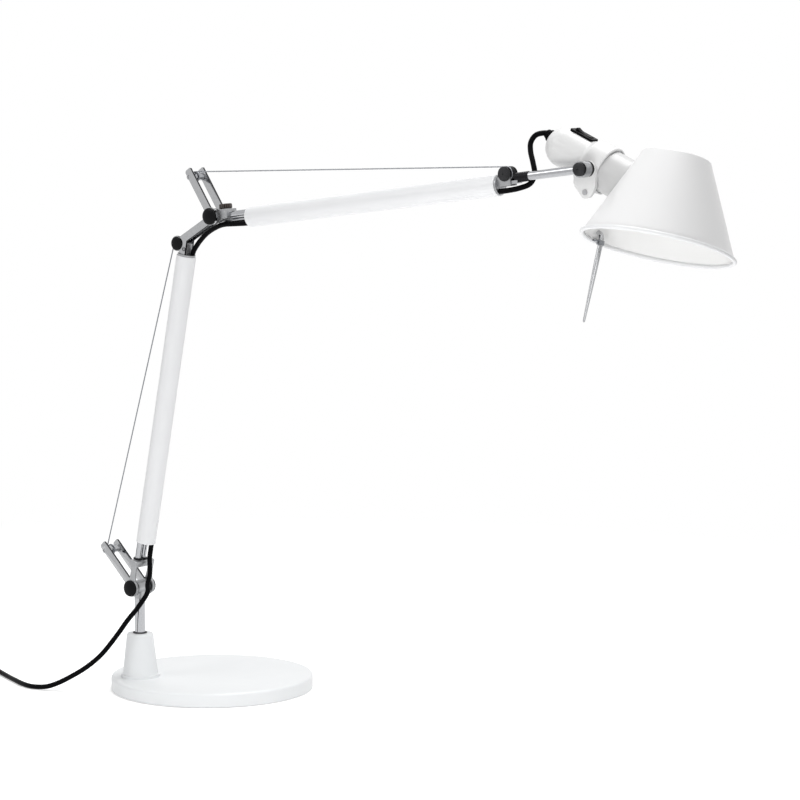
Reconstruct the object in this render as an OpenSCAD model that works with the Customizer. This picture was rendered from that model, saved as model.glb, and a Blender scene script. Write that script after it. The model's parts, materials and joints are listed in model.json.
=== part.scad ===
// Desk lamp with two spring-balanced arms, a weighted round base and a conical shade.
// Millimetres, +Z up. The origin is the centre of the base's underside, and the arms lie
// in the plane y = pole_y, reaching towards +X.

/* [Base] */
// Diameter of the round base
base_d = 230; // [200:1:260]
// Height of the base's top face
base_h = 16; // [12:0.5:22]
// Wall of the pressed base cover
cover_wall = 1.5; // [1:0.1:2.5]
// Thickness of the soft pad under the base
pad_t = 1.5; // [1:0.1:3]
// Distance from the base's centre back to the pole, along X
pole_back = 56; // [40:1:70]
// Distance from the base's centre to the pole, along Y
pole_aside = 60; // [40:1:70]
// Diameter of the boss at its foot
boss_foot_d = 44; // [40:1:50]
// Diameter of the boss at its top
boss_top_d = 30.5; // [26:0.5:34]
// Height of the boss above the base's top face
boss_h = 50; // [40:1:60]

/* [Pole and lower joint] */
// Diameter of the swivelling pole
pole_d = 12; // [10:0.5:14]
// Height of the lower joint's axis above the table
joint_z = 119; // [110:1:140]
// Diameter of the axles in both arm joints
axle_d = 8; // [6:0.5:9]
// Length of the base lever, from the joint to its cable pin
base_lever_l = 57.5; // [50:0.5:75]
// Backward tilt of the base lever from the vertical
base_lever_a = 44.9; // [35:0.1:50]

/* [Arms] */
// Outer diameter of both arm tubes
tube_d = 22; // [20:0.5:25]
// Wall of the arm tubes
tube_wall = 1; // [0.8:0.1:1.5]
// Length of each arm tube
tube_l = 332.5; // [280:0.5:380]
// Forward lean of the lower arm from the vertical
lower_lean = 11.1; // [0:0.1:25]
// Lift of the upper arm above the horizontal
upper_lift = 7.2; // [-10:0.1:20]
// Distance from the lower joint to the lower tube
lower_tail = 53; // [48:1:60]
// Distance from the elbow to the upper tube
upper_tail = 46.5; // [42:0.5:55]
// Forward offset of the elbow from the lower arm's axis
elbow_side = 36.5; // [30:0.5:42]
// Distance of the elbow beyond the lower tube's top end
elbow_rise = 53.5; // [48:0.5:60]
// Drop of the upper tube's axis under the elbow axis
upper_drop = 5.5; // [4:0.5:7]
// Length of the upper lever, from the elbow to its cable pin
upper_lever_l = 52.5; // [45:0.5:62]
// Backward tilt of the upper lever from the vertical
upper_lever_a = 33.8; // [25:0.1:40]
// Thickness of the lever and elbow plates
plate_t = 2.5; // [2:0.1:3]
// Width of the lever and elbow plates
plate_w = 9; // [8:0.5:10]

/* [Head] */
// Diameter of the head rod
rod_d = 9; // [8:0.5:10]
// Length of the head rod, from the upper tube to the head joint
rod_l = 103.5; // [90:0.5:115]
// Downward slope of the lamp housing
head_drop = 23.9; // [0:0.1:40]
// Outer diameter of the lamp housing
housing_d = 41.7; // [40:0.1:46]
// Wall of the lamp housing
housing_wall = 2; // [1.5:0.1:2.5]
// Distance in Y from the arms' plane to the housing's axis
head_aside = 36; // [34:0.5:38]
// Distance from the housing's reference point forward to the head joint
head_back = 3.5; // [0:0.5:6]
// Diameter of the housing's collar, which carries the shade's neck
collar_d = 51; // [50:0.5:54]

/* [Shade] */
// Diameter of the shade's mouth
mouth_d = 159; // [140:1:180]
// Diameter of the shade's closed top
crown_d = 70; // [60:1:80]
// Height of the shade, from mouth to crown edge
shade_h = 89.5; // [80:0.5:100]
// Rise of the domed crown
crown_rise = 4; // [3:0.5:6]
// Wall of the shade
shade_wall = 1.2; // [1:0.1:1.6]
// Tilt between the shade's axis and the square to the housing's axis
shade_tilt = 20.2; // [10:0.1:25]
// Turn of the shade about the housing's axis
shade_turn = 18.2; // [-30:0.1:30]
// Length of the handle under the rim
handle_l = 80; // [60:1:90]

/* [Cords] */
// Diameter of the mains cord
cord_d = 5.6; // [5:0.1:6]
// Diameter of the steel balance cables
cable_d = 1.5; // [1.2:0.1:2]

/* [Hidden] */
$fn = 64;
eps = 0.01;

// Clearances: running fits, faces that pass each other, and loose through holes
run_gap = 0.05;
side_gap = 0.3;
hole_gap = 0.2;

pole_r = pole_d / 2;
bush_wall = 2;
pole_foot_z = base_h + 4;
axle_r = axle_d / 2;
tube_r = tube_d / 2;
bore_r = tube_r - tube_wall;
cord_r = cord_d / 2;
cable_r = cable_d / 2;
plug_depth = 12;

// Stacks along both joint axles, counted outwards from the arms' plane
hub_half = 9;
lever_in = hub_half + side_gap;
lever_out = lever_in + plate_t;
fork_in = lever_out + side_gap;
fork_t = 3.2;
fork_out = fork_in + fork_t;
cap_r = 9.2;
cap_t = 3.8;
// A cap lies on a ring a little wider than itself
ring_r = cap_r + 0.6;

// Rods between each joint's casting and its tube, as [side, y] in the tube's section
rod_r = 3.4;
lower_rod_at = [[-4.8, -4.2], [-4.8, 4.2]];
upper_rod_at = [[5.4, -1.5], [-1.4, 3.6]];
// The cord's place in each tube's section
lower_cord_at = [5.8, 3.2];
upper_cord_at = [-6.3, -3];

pulley_r = 7.7;
groove_r = 6.4;
pulley_half = 3.9;
pulley_cap_r = 7.6;
// Distance of both cables from the arms' plane, towards the near side
groove_at = 2.2;
cheek_in = pulley_half + side_gap;
cheek_t = 1.8;
pulley_side = 10.5;
pulley_ahead = 12;
pin_r = 2;
// The elbow plates stand against the pulley's clearance, and the lever plates outside the hubs
bar_in = cheek_in;
bar_out = bar_in + plate_t;
washer_t = 2.2;
elbow_out = lever_out + washer_t;

// The head joint's stack along its bolt
bolt_r = 4;
eye_r = 8.5;
eye_half = 4.6;
knob_r = 7;
knob_t = 4;
spacer_r = 8;
housing_r = housing_d / 2;
housing_back = 45.4;
collar_r = collar_d / 2;
// Where the housing starts to widen, reaches the collar's width, and ends
flare_from = -15.5;
flare_to = -6;
collar_to = 13;
neck_r = 22.4;
neck_wall = 1.6;
neck_from = -4;
shade_reach = 87.3;
mouth_below = 42;
mouth_r = mouth_d / 2;
crown_r = crown_d / 2;
rim_r = 2.2;
cone_r = mouth_r - rim_r - 0.8;
handle_at = 173;

lower_top = lower_tail + tube_l;
upper_top = upper_tail + tube_l;
elbow_up = lower_top + elbow_rise;
head_out = upper_top + rod_l;

module at_pole() { translate([-pole_back, -pole_aside, 0]) children(); }
module at_joint() { at_pole() translate([0, 0, joint_z]) children(); }
// Lower arm: z along the tube, x to the front
module in_lower() { at_joint() rotate([0, lower_lean, 0]) children(); }
// Elbow with the lower arm's turn taken out: x level, z up
module at_elbow() {
    in_lower() translate([elbow_side, 0, elbow_up]) rotate([0, -lower_lean, 0]) children();
}
// Upper arm: x along the arm, z up, from the elbow's axis
module in_upper() { at_elbow() rotate([0, -upper_lift, 0]) children(); }
// Upper tube: x along the tube, from the tube's rear end on its axis
module in_upper_tube() { in_upper() translate([upper_tail, 0, -upper_drop]) children(); }
// Head: x along the housing's axis, z up, from the head joint's axis
module in_head() {
    in_upper() translate([head_out, 0, 0]) rotate([0, head_drop + upper_lift, 0]) children();
}
module on_housing() { in_head() translate([-head_back, head_aside, 0]) children(); }
// Shade: z up along its own axis, from the centre of its mouth
module in_shade() {
    on_housing() rotate([-shade_turn, 0, 0]) translate([shade_reach, 0, 0])
        rotate([0, -shade_tilt, 0]) translate([0, 0, -mouth_below]) children();
}

// A cylinder along Y from y0 to y1
module cross_rod(r, y0, y1) { translate([0, y0, 0]) rotate([-90, 0, 0]) cylinder(r = r, h = y1 - y0); }
// A cylinder along X from x0 to x1
module long_rod(r, x0, x1) { translate([x0, 0, 0]) rotate([0, 90, 0]) cylinder(r = r, h = x1 - x0); }
// A ring-shaped tube along Z
module pipe(r_out, r_in, h) {
    difference() {
        cylinder(r = r_out, h = h);
        translate([0, 0, -1]) cylinder(r = r_in, h = h + 2);
    }
}
// The same shape on the near side (-Y) and on the far side (+Y)
module both_sides() { children(); mirror([0, 1, 0]) children(); }
// A domed cap along -Y, its flat back at y = 0
module dome_cap(r, t) {
    rotate([90, 0, 0]) rotate_extrude() {
        square([r, t * 0.35]);
        translate([0, t * 0.35]) intersection() {
            scale([r, t * 0.65]) circle(r = 1, $fn = 96);
            square([r, t]);
        }
    }
}

// Sweeping a round tube along a list of points
function unit(v) = v / norm(v);
// Direction at point i; from and to, where given, are the directions at the two ends
function tangent(p, i, from, to) = unit(i == 0 && !is_undef(from) ? from
    : i == len(p) - 1 && !is_undef(to) ? to : p[min(i + 1, len(p) - 1)] - p[max(i - 1, 0)]);
// Frames are carried along without twist, starting across the first tangent
function first_side(t) = unit(cross(t, abs(t[2]) < 0.9 ? [0, 0, 1] : [1, 0, 0]));
function carry(s, t) = unit(s - t * (s * t));
function sides(p, from, to, i = 0, s = undef) = i == len(p) ? [] :
    let (t = tangent(p, i, from, to), n = i == 0 ? first_side(t) : carry(s, t))
    concat([n], sides(p, from, to, i + 1, n));
module sweep_tube(p, r, sides_n, from = undef, to = undef) {
    s = sides(p, from, to);
    n = len(p);
    pts = [for (i = [0 : n - 1]) let (t = tangent(p, i, from, to), u = s[i], v = cross(t, u))
        for (k = [0 : sides_n - 1]) let (a = 360 * k / sides_n) p[i] + r * (cos(a) * u + sin(a) * v)];
    walls = [for (i = [0 : n - 2]) for (k = [0 : sides_n - 1])
        let (a = i * sides_n + k, b = i * sides_n + (k + 1) % sides_n)
        each [[a, b + sides_n, b], [a, a + sides_n, b + sides_n]]];
    first = [for (k = [1 : sides_n - 2]) [0, k, k + 1]];
    last = [for (k = [1 : sides_n - 2]) let (o = (n - 1) * sides_n) [o, o + k + 1, o + k]];
    polyhedron(points = pts, faces = concat(walls, first, last), convexity = 6);
}
// A smooth curve through hand-set points, with steps pieces between two of them
function smooth(p, steps) = concat([for (i = [0 : len(p) - 2]) for (k = [0 : steps - 1])
    let (t = k / steps, a = p[max(i - 1, 0)], b = p[i], c = p[i + 1], d = p[min(i + 2, len(p) - 1)])
    b + 0.5 * t * (c - a + t * (2 * a - 5 * b + 4 * c - d + t * (3 * (b - c) + d - a)))],
    [p[len(p) - 1]]);

// Base
module base_pad() { color("#2a2a2a") cylinder(r = base_d / 2 - cover_wall - 2, h = pad_t); }
weight_top = base_h - cover_wall;
weight_r = base_d / 2 - cover_wall - side_gap;
screw_pcd = 32;
screw_r = 2;
module at_screws() {
    at_pole() for (a = [45, 165, 285]) rotate([0, 0, a]) translate([screw_pcd / 2, 0, 0]) children();
}
module base_weight() {
    color("#555a5e") difference() {
        translate([0, 0, pad_t]) cylinder(r = weight_r, h = weight_top - pad_t, $fn = 128);
        at_screws() {
            cylinder(r = screw_r + hole_gap, h = base_h);
            cylinder(r = 4.2, h = pad_t + 3.2);
        }
    }
}
module base_cover() {
    edge = 3;
    color("#eef0f4") difference() {
        rotate_extrude($fn = 128) difference() {
            hull() {
                translate([0, pad_t / 2]) square([base_d / 2, eps]);
                square_top = base_h - edge;
                translate([base_d / 2 - edge, square_top]) intersection() {
                    circle(r = edge, $fn = 48);
                    square(edge);
                }
                translate([0, base_h - eps]) square([1, eps]);
            }
            translate([-1, -1]) square([base_d / 2 - cover_wall + 1, base_h - cover_wall + 1]);
        }
        at_screws() cylinder(r = screw_r + hole_gap, h = base_h + 1);
    }
}
boss_top_z = base_h + boss_h;
bush_r = pole_r + run_gap + bush_wall;
module boss() {
    foot = 3;
    color("#f2f3f6") difference() {
        at_pole() translate([0, 0, base_h]) difference() {
            rotate_extrude() union() {
                square([boss_foot_d / 2, foot]);
                polygon([[0, foot], [boss_foot_d / 2 - 2, foot], [boss_top_d / 2, boss_h - 2],
                    [boss_top_d / 2 - 1.2, boss_h], [0, boss_h]]);
            }
            translate([0, 0, pole_foot_z - base_h]) cylinder(r = bush_r, h = boss_h);
        }
        at_screws() translate([0, 0, base_h - 1]) cylinder(r = screw_r, h = 13);
    }
}
module boss_screws() {
    color("#b8bcc2") at_screws() {
        translate([0, 0, pad_t + 0.2]) cylinder(r = 4, h = 3);
        translate([0, 0, pad_t + 3]) cylinder(r = screw_r, h = base_h + 11 - pad_t - 3);
    }
}
module pole_bush() {
    color("#303236") at_pole() translate([0, 0, pole_foot_z])
        pipe(bush_r, pole_r + run_gap, boss_top_z - pole_foot_z + 1);
}

// Pole, its head and the base lever
head_neck_z = joint_z - 13;
module pole() {
    color("#c9ccd0") at_pole() translate([0, 0, pole_foot_z])
        cylinder(r = pole_r, h = head_neck_z - pole_foot_z);
}
module pole_head() {
    color("#e4e6ea") difference() {
        union() {
            at_pole() translate([0, 0, head_neck_z]) cylinder(r = pole_r, h = 10);
            at_joint() cross_rod(7.6, -hub_half, hub_half);
        }
        at_joint() cross_rod(axle_r, -hub_half - 1, hub_half + 1);
    }
}
// Levers: a strip from a disc on the axle, with an ear on its rear edge for the cable pin
lever_disc = 8;
lever_end = 8;
ear_r = 3.5;
pin_back = 2.3;
drum_r = 4.5;
// A point [across, along] of a lever that leans back by a
function lean_back(p, a) = [p[0] * cos(a) - p[1] * sin(a), p[0] * sin(a) + p[1] * cos(a)];
function lever_pin(l, a) = lean_back([-pin_back, l], a);
function lever_line(l) = let (w = plate_w / 2, open = acos(w / lever_disc), corner = 3, cut = 1,
    ear = acos((w - pin_back) / ear_r)) concat(
    [for (k = [0 : 18]) let (a = open - (180 + 2 * open) * k / 18) lever_disc * [cos(a), sin(a)]],
    [for (k = [0 : 8]) let (a = 180 + ear - 2 * ear * k / 8) [ear_r * cos(a) - pin_back, l + ear_r * sin(a)]],
    [for (a = [180 : -30 : 90]) [corner - w + corner * cos(a), l + lever_end - corner + corner * sin(a)]],
    [[w - cut, l + lever_end], [w, l + lever_end - cut]]);
module lever_plates(l, a) {
    pin = lever_pin(l, a);
    both_sides() difference() {
        translate([0, lever_out, 0]) rotate([90, 0, 0]) linear_extrude(plate_t)
            polygon([for (p = lever_line(l)) lean_back(p, a)]);
        cross_rod(axle_r, lever_in - 1, lever_out + 1);
        translate([pin[0], 0, pin[1]]) cross_rod(pin_r, lever_in - 1, lever_out + 1);
    }
}
module base_lever_plates() { color("#d4d6da") at_joint() lever_plates(base_lever_l, base_lever_a); }
// The pin across a lever's two ears, with the drum that its cable is tied round
module cable_pin(at) {
    translate([at[0], 0, at[1]]) {
        cross_rod(pin_r, 0.4 - lever_out, lever_out - 0.4);
        cross_rod(drum_r, side_gap - lever_in, lever_in - side_gap);
    }
}
base_pin = lever_pin(base_lever_l, base_lever_a);
upper_pin = lever_pin(upper_lever_l, upper_lever_a);
// The joint's axle and the cable pin at the lever's tip
module lower_pins() {
    color("#a9adb3") at_joint() {
        cross_rod(axle_r, -fork_out, fork_out);
        cable_pin(base_pin);
    }
}

// Lower arm
yoke_s = 25;
yoke_h = 7;
yoke_half = 7.4;
// Outline of one fork leg: a ring's disc that narrows into a neck under the yoke
fork_leg = concat([for (a = [60 : -15 : -240]) ring_r * [cos(a), sin(a)]],
    [[-3.9, 15], [-3.6, 20], [-4, yoke_s + yoke_h - 0.6],
     [3.4, yoke_s + yoke_h - 0.6], [3.4, 20], [3.7, 15]]);
module lower_fork() {
    color("#e2e4e8") in_lower() difference() {
        union() {
            both_sides() translate([0, fork_out, 0]) rotate([90, 0, 0])
                linear_extrude(fork_t) polygon(fork_leg);
            translate([-yoke_half - 1, 0.6 - fork_out, yoke_s])
                cube([2 * yoke_half - 2, 2 * fork_out - 1.2, yoke_h]);
        }
        cross_rod(axle_r + run_gap, -fork_out - 1, fork_out + 1);
        for (p = lower_rod_at) translate([p[0], p[1], yoke_s - 1]) cylinder(r = rod_r, h = yoke_h + 2);
    }
}
module lower_rods() {
    color("#c4c7cc") in_lower() for (p = lower_rod_at)
        translate([p[0], p[1], yoke_s]) cylinder(r = rod_r, h = lower_tail + plug_depth - yoke_s);
}
module plug_disc(rods, cord_at) {
    difference() {
        cylinder(r = bore_r, h = plug_depth);
        for (p = rods) translate([p[0], p[1], -1]) cylinder(r = rod_r, h = plug_depth + 2);
        translate([cord_at[0], cord_at[1], -1]) cylinder(r = cord_r + hole_gap, h = plug_depth + 2);
    }
}
module lower_end_plug() {
    color("#3a3c40") in_lower() translate([0, 0, lower_tail + 0.5]) plug_disc(lower_rod_at, lower_cord_at);
}
module lower_tube() {
    color("#f4f5f8") in_lower() translate([0, 0, lower_tail]) pipe(tube_r, bore_r, tube_l);
}
spring_l = 150;
spring_r = 4.6;
// Balance spring with its hook rod, from s along the tube's axis
module spring(reach) {
    translate([-3.6, 0, 0]) {
        pipe(spring_r, spring_r - 1.2, spring_l);
        translate([0, 0, spring_l]) cylinder(r = spring_r, h = 2);
        translate([0, 0, spring_l + 2]) cylinder(r = cable_r, h = reach - spring_l - 2);
    }
}
spring_from = lower_tail + plug_depth + 0.5;
module lower_spring() {
    color("#8f949a") in_lower() translate([0, 0, spring_from])
        spring(lower_top - 2 - spring_from);
}
module lower_joint_caps() {
    color("#1b1c1e") in_lower() both_sides() translate([0, -fork_out, 0]) dome_cap(cap_r, cap_t);
}
// Plug in a tube's front end, with the holes for its spring's rod and the cord
module front_plug(cord_at) {
    difference() {
        translate([0, 0, -plug_depth]) cylinder(r = bore_r, h = plug_depth + 2);
        translate([-3.6, 0, -plug_depth - 1]) cylinder(r = 3, h = plug_depth + 6);
        translate([cord_at[0], cord_at[1], -plug_depth - 1]) cylinder(r = cord_r + hole_gap, h = 30);
    }
}
cheek_r = 6;
// The two cheeks that hold a pulley, its axis to the side in x and ahead of the tube's end in z
module pulley_cheeks() {
    both_sides() difference() {
        union() {
            translate([-pulley_side, 0, pulley_ahead]) cross_rod(cheek_r, cheek_in, cheek_in + cheek_t);
            translate([-pulley_side, cheek_in, pulley_ahead - cheek_r])
                cube([pulley_side + 2, cheek_t, 2 * cheek_r]);
            translate([-8, cheek_in, 0]) cube([10, cheek_t, pulley_ahead]);
        }
        translate([-pulley_side, 0, pulley_ahead]) cross_rod(pin_r, cheek_in - 1, cheek_in + cheek_t + 1);
    }
}
// The pulley's axle with a cap on each end, out from the arms' plane
module pulley_axle(out, t) {
    translate([-pulley_side, 0, pulley_ahead]) {
        cross_rod(pin_r, -out, out);
        both_sides() translate([0, -out, 0]) dome_cap(pulley_cap_r, t);
    }
}
// The groove lies towards the near side, where the cable runs
module pulley_wheel() {
    wide = 1.3;
    floor_half = 0.8;
    translate([-pulley_side, 0, pulley_ahead]) rotate([90, 0, 0]) difference() {
        rotate_extrude() polygon([[0, -pulley_half], [pulley_r, -pulley_half],
            [pulley_r, groove_at - wide], [groove_r, groove_at - floor_half],
            [groove_r, groove_at + floor_half], [pulley_r, groove_at + wide],
            [pulley_r, pulley_half], [0, pulley_half]]);
        cylinder(r = pin_r + run_gap, h = 20, center = true);
    }
}
module at_lower_top() { in_lower() translate([0, 0, lower_top]) children(); }
// The elbow plates stand on the lower tube's plug, on both sides of a web
foot_r = 1.5;
foot_at = [0.3, 8];
foot_from = -6.2;
foot_to = 2.8;
web_from = -2.2;
web_h = 14;
module lower_top_plug() {
    color("#e2e4e8") at_lower_top() difference() {
        union() {
            front_plug(lower_cord_at);
            translate([web_from, -bar_in, 1]) cube([foot_to - web_from, 2 * bar_in, web_h - 1]);
        }
        translate([foot_at[0], 0, foot_at[1]]) cross_rod(foot_r, -20, 20);
    }
}
module lower_pulley_axle() { color("#17181a") at_lower_top() pulley_axle(bar_out, 2.6); }
module lower_pulley() { color("#55585c") at_lower_top() pulley_wheel(); }
elbow_at = [elbow_side, elbow_rise];
pulley_at = [-pulley_side, pulley_ahead];
bar_dir = unit(elbow_at - pulley_at);
bar_end = 8.4;
// Outline of an elbow plate: a bar from the pulley's axle to the elbow, with a foot on the plug
plate_line = let (w = plate_w / 2, open = asin(w / bar_end), way = atan2(bar_dir[1], bar_dir[0]),
    edge = pulley_at + w * [bar_dir[1], -bar_dir[0]], disc_to = 300) concat(
    [for (k = [0 : 24]) let (a = way + 180 + open + (360 - 2 * open) * k / 24)
        elbow_at + bar_end * [cos(a), sin(a)]],
    [for (k = [0 : 18]) let (a = way + open + (disc_to - way - open) * k / 18)
        pulley_at + bar_end * [cos(a), sin(a)]],
    [[foot_from, 2], [foot_to, 2], [foot_to, edge[1] + (foot_to - edge[0]) * tan(way)]]);
module elbow_plates() {
    head_r = 2.4;
    color("#d4d6da") at_lower_top() both_sides() difference() {
        union() {
            translate([0, bar_out, 0]) rotate([90, 0, 0]) linear_extrude(plate_t) polygon(plate_line);
            translate([foot_at[0], 0, foot_at[1]]) {
                cross_rod(foot_r, 1, bar_in + 1);
                cross_rod(head_r, bar_in + 1, bar_out + 0.6);
            }
        }
        translate([elbow_at[0], 0, elbow_at[1]]) cross_rod(axle_r, bar_in - 1, bar_out + 1);
        translate([pulley_at[0], 0, pulley_at[1]]) cross_rod(pin_r, bar_in - 1, bar_out + 1);
    }
}
module elbow_pins() {
    color("#a9adb3") at_elbow() {
        cross_rod(axle_r, 0.6 - elbow_out, elbow_out - 0.6);
        both_sides() cross_rod(ring_r, lever_out, elbow_out);
        cable_pin(upper_pin);
    }
}
module elbow_caps() {
    color("#1b1c1e") at_elbow() both_sides() translate([0, -elbow_out, 0]) dome_cap(cap_r, cap_t);
}
module upper_lever_plates() { color("#d4d6da") at_elbow() lever_plates(upper_lever_l, upper_lever_a); }

// Upper arm
block_to = 20;
block_half = 8.6;
block_low = -3.9;
block_top = 6.4;
waist_r = 5.6;
// The elbow plates turn in two slots of the block, between its core and its hub's outer lobes
core_half = bar_in - 0.25;
lobe_in = bar_out + side_gap;
slot_r = 9.4;
screw_x = 12.5;
module elbow_block() {
    color("#e2e4e8") in_upper() difference() {
        union() {
            both_sides() cross_rod(8.4, lobe_in - 0.5, hub_half);
            cross_rod(waist_r, -core_half - 0.5, core_half + 0.5);
            translate([3, -block_half, block_low])
                cube([block_to - 3, 2 * block_half, block_top - block_low]);
            translate([9, 0.3, block_low - 7]) cube([block_to - 9, block_half - 0.3, 8]);
            both_sides() translate([0, lobe_in + 0.3, -8.3]) cube([8, hub_half - lobe_in - 0.6, 8]);
        }
        both_sides() cross_rod(slot_r, core_half, lobe_in);
        cross_rod(axle_r + run_gap, -20, 20);
        for (p = upper_rod_at) translate([0, p[1], p[0] - upper_drop]) long_rod(rod_r, 10, 30);
        translate([screw_x, 0, 3.6]) cylinder(r = 2 + run_gap, h = 20);
    }
}
module elbow_screw() {
    knurls = 18;
    color("#6b5a50") in_upper() translate([screw_x, 0, block_top + side_gap]) {
        difference() {
            cylinder(r = 7.2, h = 5.5);
            for (i = [0 : knurls - 1]) rotate([0, 0, i * 360 / knurls])
                translate([7.45, 0, -1]) cylinder(r = 0.6, h = 8, $fn = 16);
        }
        translate([0, 0, -2.8]) cylinder(r = 2, h = 3);
    }
}
module upper_rods() {
    color("#c4c7cc") in_upper() for (p = upper_rod_at)
        translate([0, p[1], p[0] - upper_drop]) long_rod(rod_r, 10, upper_tail + plug_depth);
}
// The tube's section is turned so that its side points down
module along_upper() { in_upper_tube() rotate([0, 90, 0]) children(); }
function flip(p) = [-p[0], p[1]];
module upper_end_plug() {
    color("#3a3c40") along_upper() translate([0, 0, 0.5])
        plug_disc([for (p = upper_rod_at) flip(p)], flip(upper_cord_at));
}
module upper_tube() { color("#f4f5f8") along_upper() pipe(tube_r, bore_r, tube_l); }
module upper_spring() {
    color("#8f949a") along_upper() translate([0, 0, plug_depth + 0.5])
        spring(tube_l - plug_depth - 2.5);
}
module at_upper_top() { along_upper() translate([0, 0, tube_l]) children(); }
// Flat tongue that roots the head rod in the tube's front plug
tongue_t = 3.4;
tongue_low = -0.6;
module upper_front_plug() {
    color("#e2e4e8") at_upper_top() difference() {
        union() {
            front_plug(flip(upper_cord_at));
            pulley_cheeks();
        }
        translate([-tongue_low - tongue_t, -cheek_in, -plug_depth - 1])
            cube([tongue_t, 2 * cheek_in, 40]);
    }
}
module upper_pulley_axle() { color("#17181a") at_upper_top() pulley_axle(cheek_in + cheek_t, 2.6); }
module upper_pulley() { color("#55585c") at_upper_top() pulley_wheel(); }
module head_rod() {
    color("#d8dade") {
        in_upper_tube() translate([tube_l - plug_depth, -cheek_in, tongue_low])
            cube([plug_depth + 26, 2 * cheek_in, tongue_t]);
        in_upper() difference() {
            union() {
                long_rod(rod_d / 2, upper_top + 23, head_out);
                translate([head_out, 0, 0]) cross_rod(eye_r, -eye_half, eye_half);
            }
            translate([head_out, 0, 0]) cross_rod(bolt_r + run_gap, -20, 20);
        }
    }
}

// Head
// The housing's side boss, from its face to where its bolt hole ends in the collar's wall
boss_y = head_aside - collar_r - 1.5;
bolt_to = head_aside - collar_r + housing_wall - 0.1;
module head_bolt() {
    color("#a9adb3") in_head() {
        cross_rod(bolt_r, -eye_half - 1.2, bolt_to);
        cross_rod(3, -eye_half - 3.6, -eye_half - 1.2);
        difference() {
            cross_rod(eye_r, -eye_half - 1.2, -eye_half - 0.2);
            cross_rod(bolt_r - 0.5, -20, 20);
        }
    }
}
module head_knob() {
    knurls = 20;
    color("#1b1c1e") in_head() translate([0, -eye_half - 1.4, 0]) difference() {
        dome_cap(knob_r, knob_t);
        cross_rod(3 + run_gap, -2.5, 1);
        for (i = [0 : knurls - 1]) rotate([0, i * 360 / knurls, 0])
            translate([knob_r + 0.1, 0, 0]) cross_rod(0.4, -knob_t - 1, 1, $fn = 16);
    }
}
module head_spacer() {
    color("#1f2022") in_head() difference() {
        cross_rod(spacer_r, eye_half + side_gap, boss_y);
        cross_rod(bolt_r, -20, 20);
    }
}
// Half outline of the housing, [x, r] from the rear apex to the collar's front, drawn in by off
edge_r = 1.6;
function housing_line(off) = concat(
    [for (a = [0 : 7.5 : 90]) [-housing_back - (housing_r - off) * cos(a), (housing_r - off) * sin(a)]],
    [for (k = [0 : 10]) let (t = k / 10) [flare_from + (flare_to - flare_from) * t,
        housing_r - off + (collar_r - housing_r) * (1 - cos(180 * t)) / 2]]);
module turned(line) {
    // Turns [x, r] points about the X axis
    rotate([0, 90, 0]) rotate_extrude($fn = 96) polygon([for (p = line) [p[1], p[0]]]);
}
lug_line = [[-17.5, -7], [-17.5, -14], [-16, -18], [-7, -29], [-4, -30], [1, -29], [5, -25], [8, -19],
    [10, 2], [-12, 2]];
lug_t = 4;
// The lug's face lies a little behind the boss's
lug_y = boss_y + 0.6;
lug_hole = [-3.5, -23.5];
module housing() {
    inner = housing_line(housing_wall);
    color("#eceef1") difference() {
        union() {
            on_housing() turned(concat(housing_line(0), [
                for (a = [90 : -15 : 0])
                    [collar_to - edge_r + edge_r * cos(a), collar_r - edge_r + edge_r * sin(a)]],
                [[collar_to, 0]]));
            in_head() cross_rod(spacer_r, boss_y, boss_y + 6);
            in_head() rotate([0, -head_drop, 0]) translate([0, lug_y + lug_t, 0]) rotate([90, 0, 0])
                linear_extrude(lug_t) polygon(lug_line);
        }
        on_housing() turned(concat([[inner[0][0], 0]], inner, [[collar_to + 1, collar_r - housing_wall],
            [collar_to + 1, 0]]));
        in_head() cross_rod(bolt_r, -1, boss_y + 12);
        in_head() rotate([0, -head_drop, 0]) translate([lug_hole[0], 0, lug_hole[1]])
            cross_rod(1.6, -1, boss_y + 6);
        on_housing() at_gland() cylinder(r = gland_bore, h = 20, center = true);
        on_housing() translate([switch_x - frame_l / 2 + 2, -frame_w / 2 + 1.7, 10])
            cube([frame_l - 4, frame_w - 3.4, 20]);
    }
}
module lug_screw() {
    color("#9da1a7") in_head() rotate([0, -head_drop, 0]) translate([lug_hole[0], 0, lug_hole[1]]) {
        cross_rod(1.6, lug_y, lug_y + lug_t);
        difference() {
            cross_rod(2.8, lug_y - 1.4, lug_y);
            translate([-4, lug_y - 2, -0.4]) cube([8, 1.1, 0.8]);
        }
    }
}
// Plain ring in the collar that the shade's neck turns in
module neck_ring() {
    color("#d9dbde") on_housing() difference() {
        long_rod(collar_r - housing_wall - run_gap, neck_from - 2, collar_to - 1.5);
        long_rod(neck_r + run_gap, neck_from, collar_to);
        long_rod(neck_r - 2, neck_from - 3, collar_to);
    }
}
switch_x = -30.5;
frame_l = 29;
frame_w = 13;
gland_bore = 4;
gland_lift = 8;
gland_t = 5;
// Depth of the cord's seat in the gland
gland_bite = 3;
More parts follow.
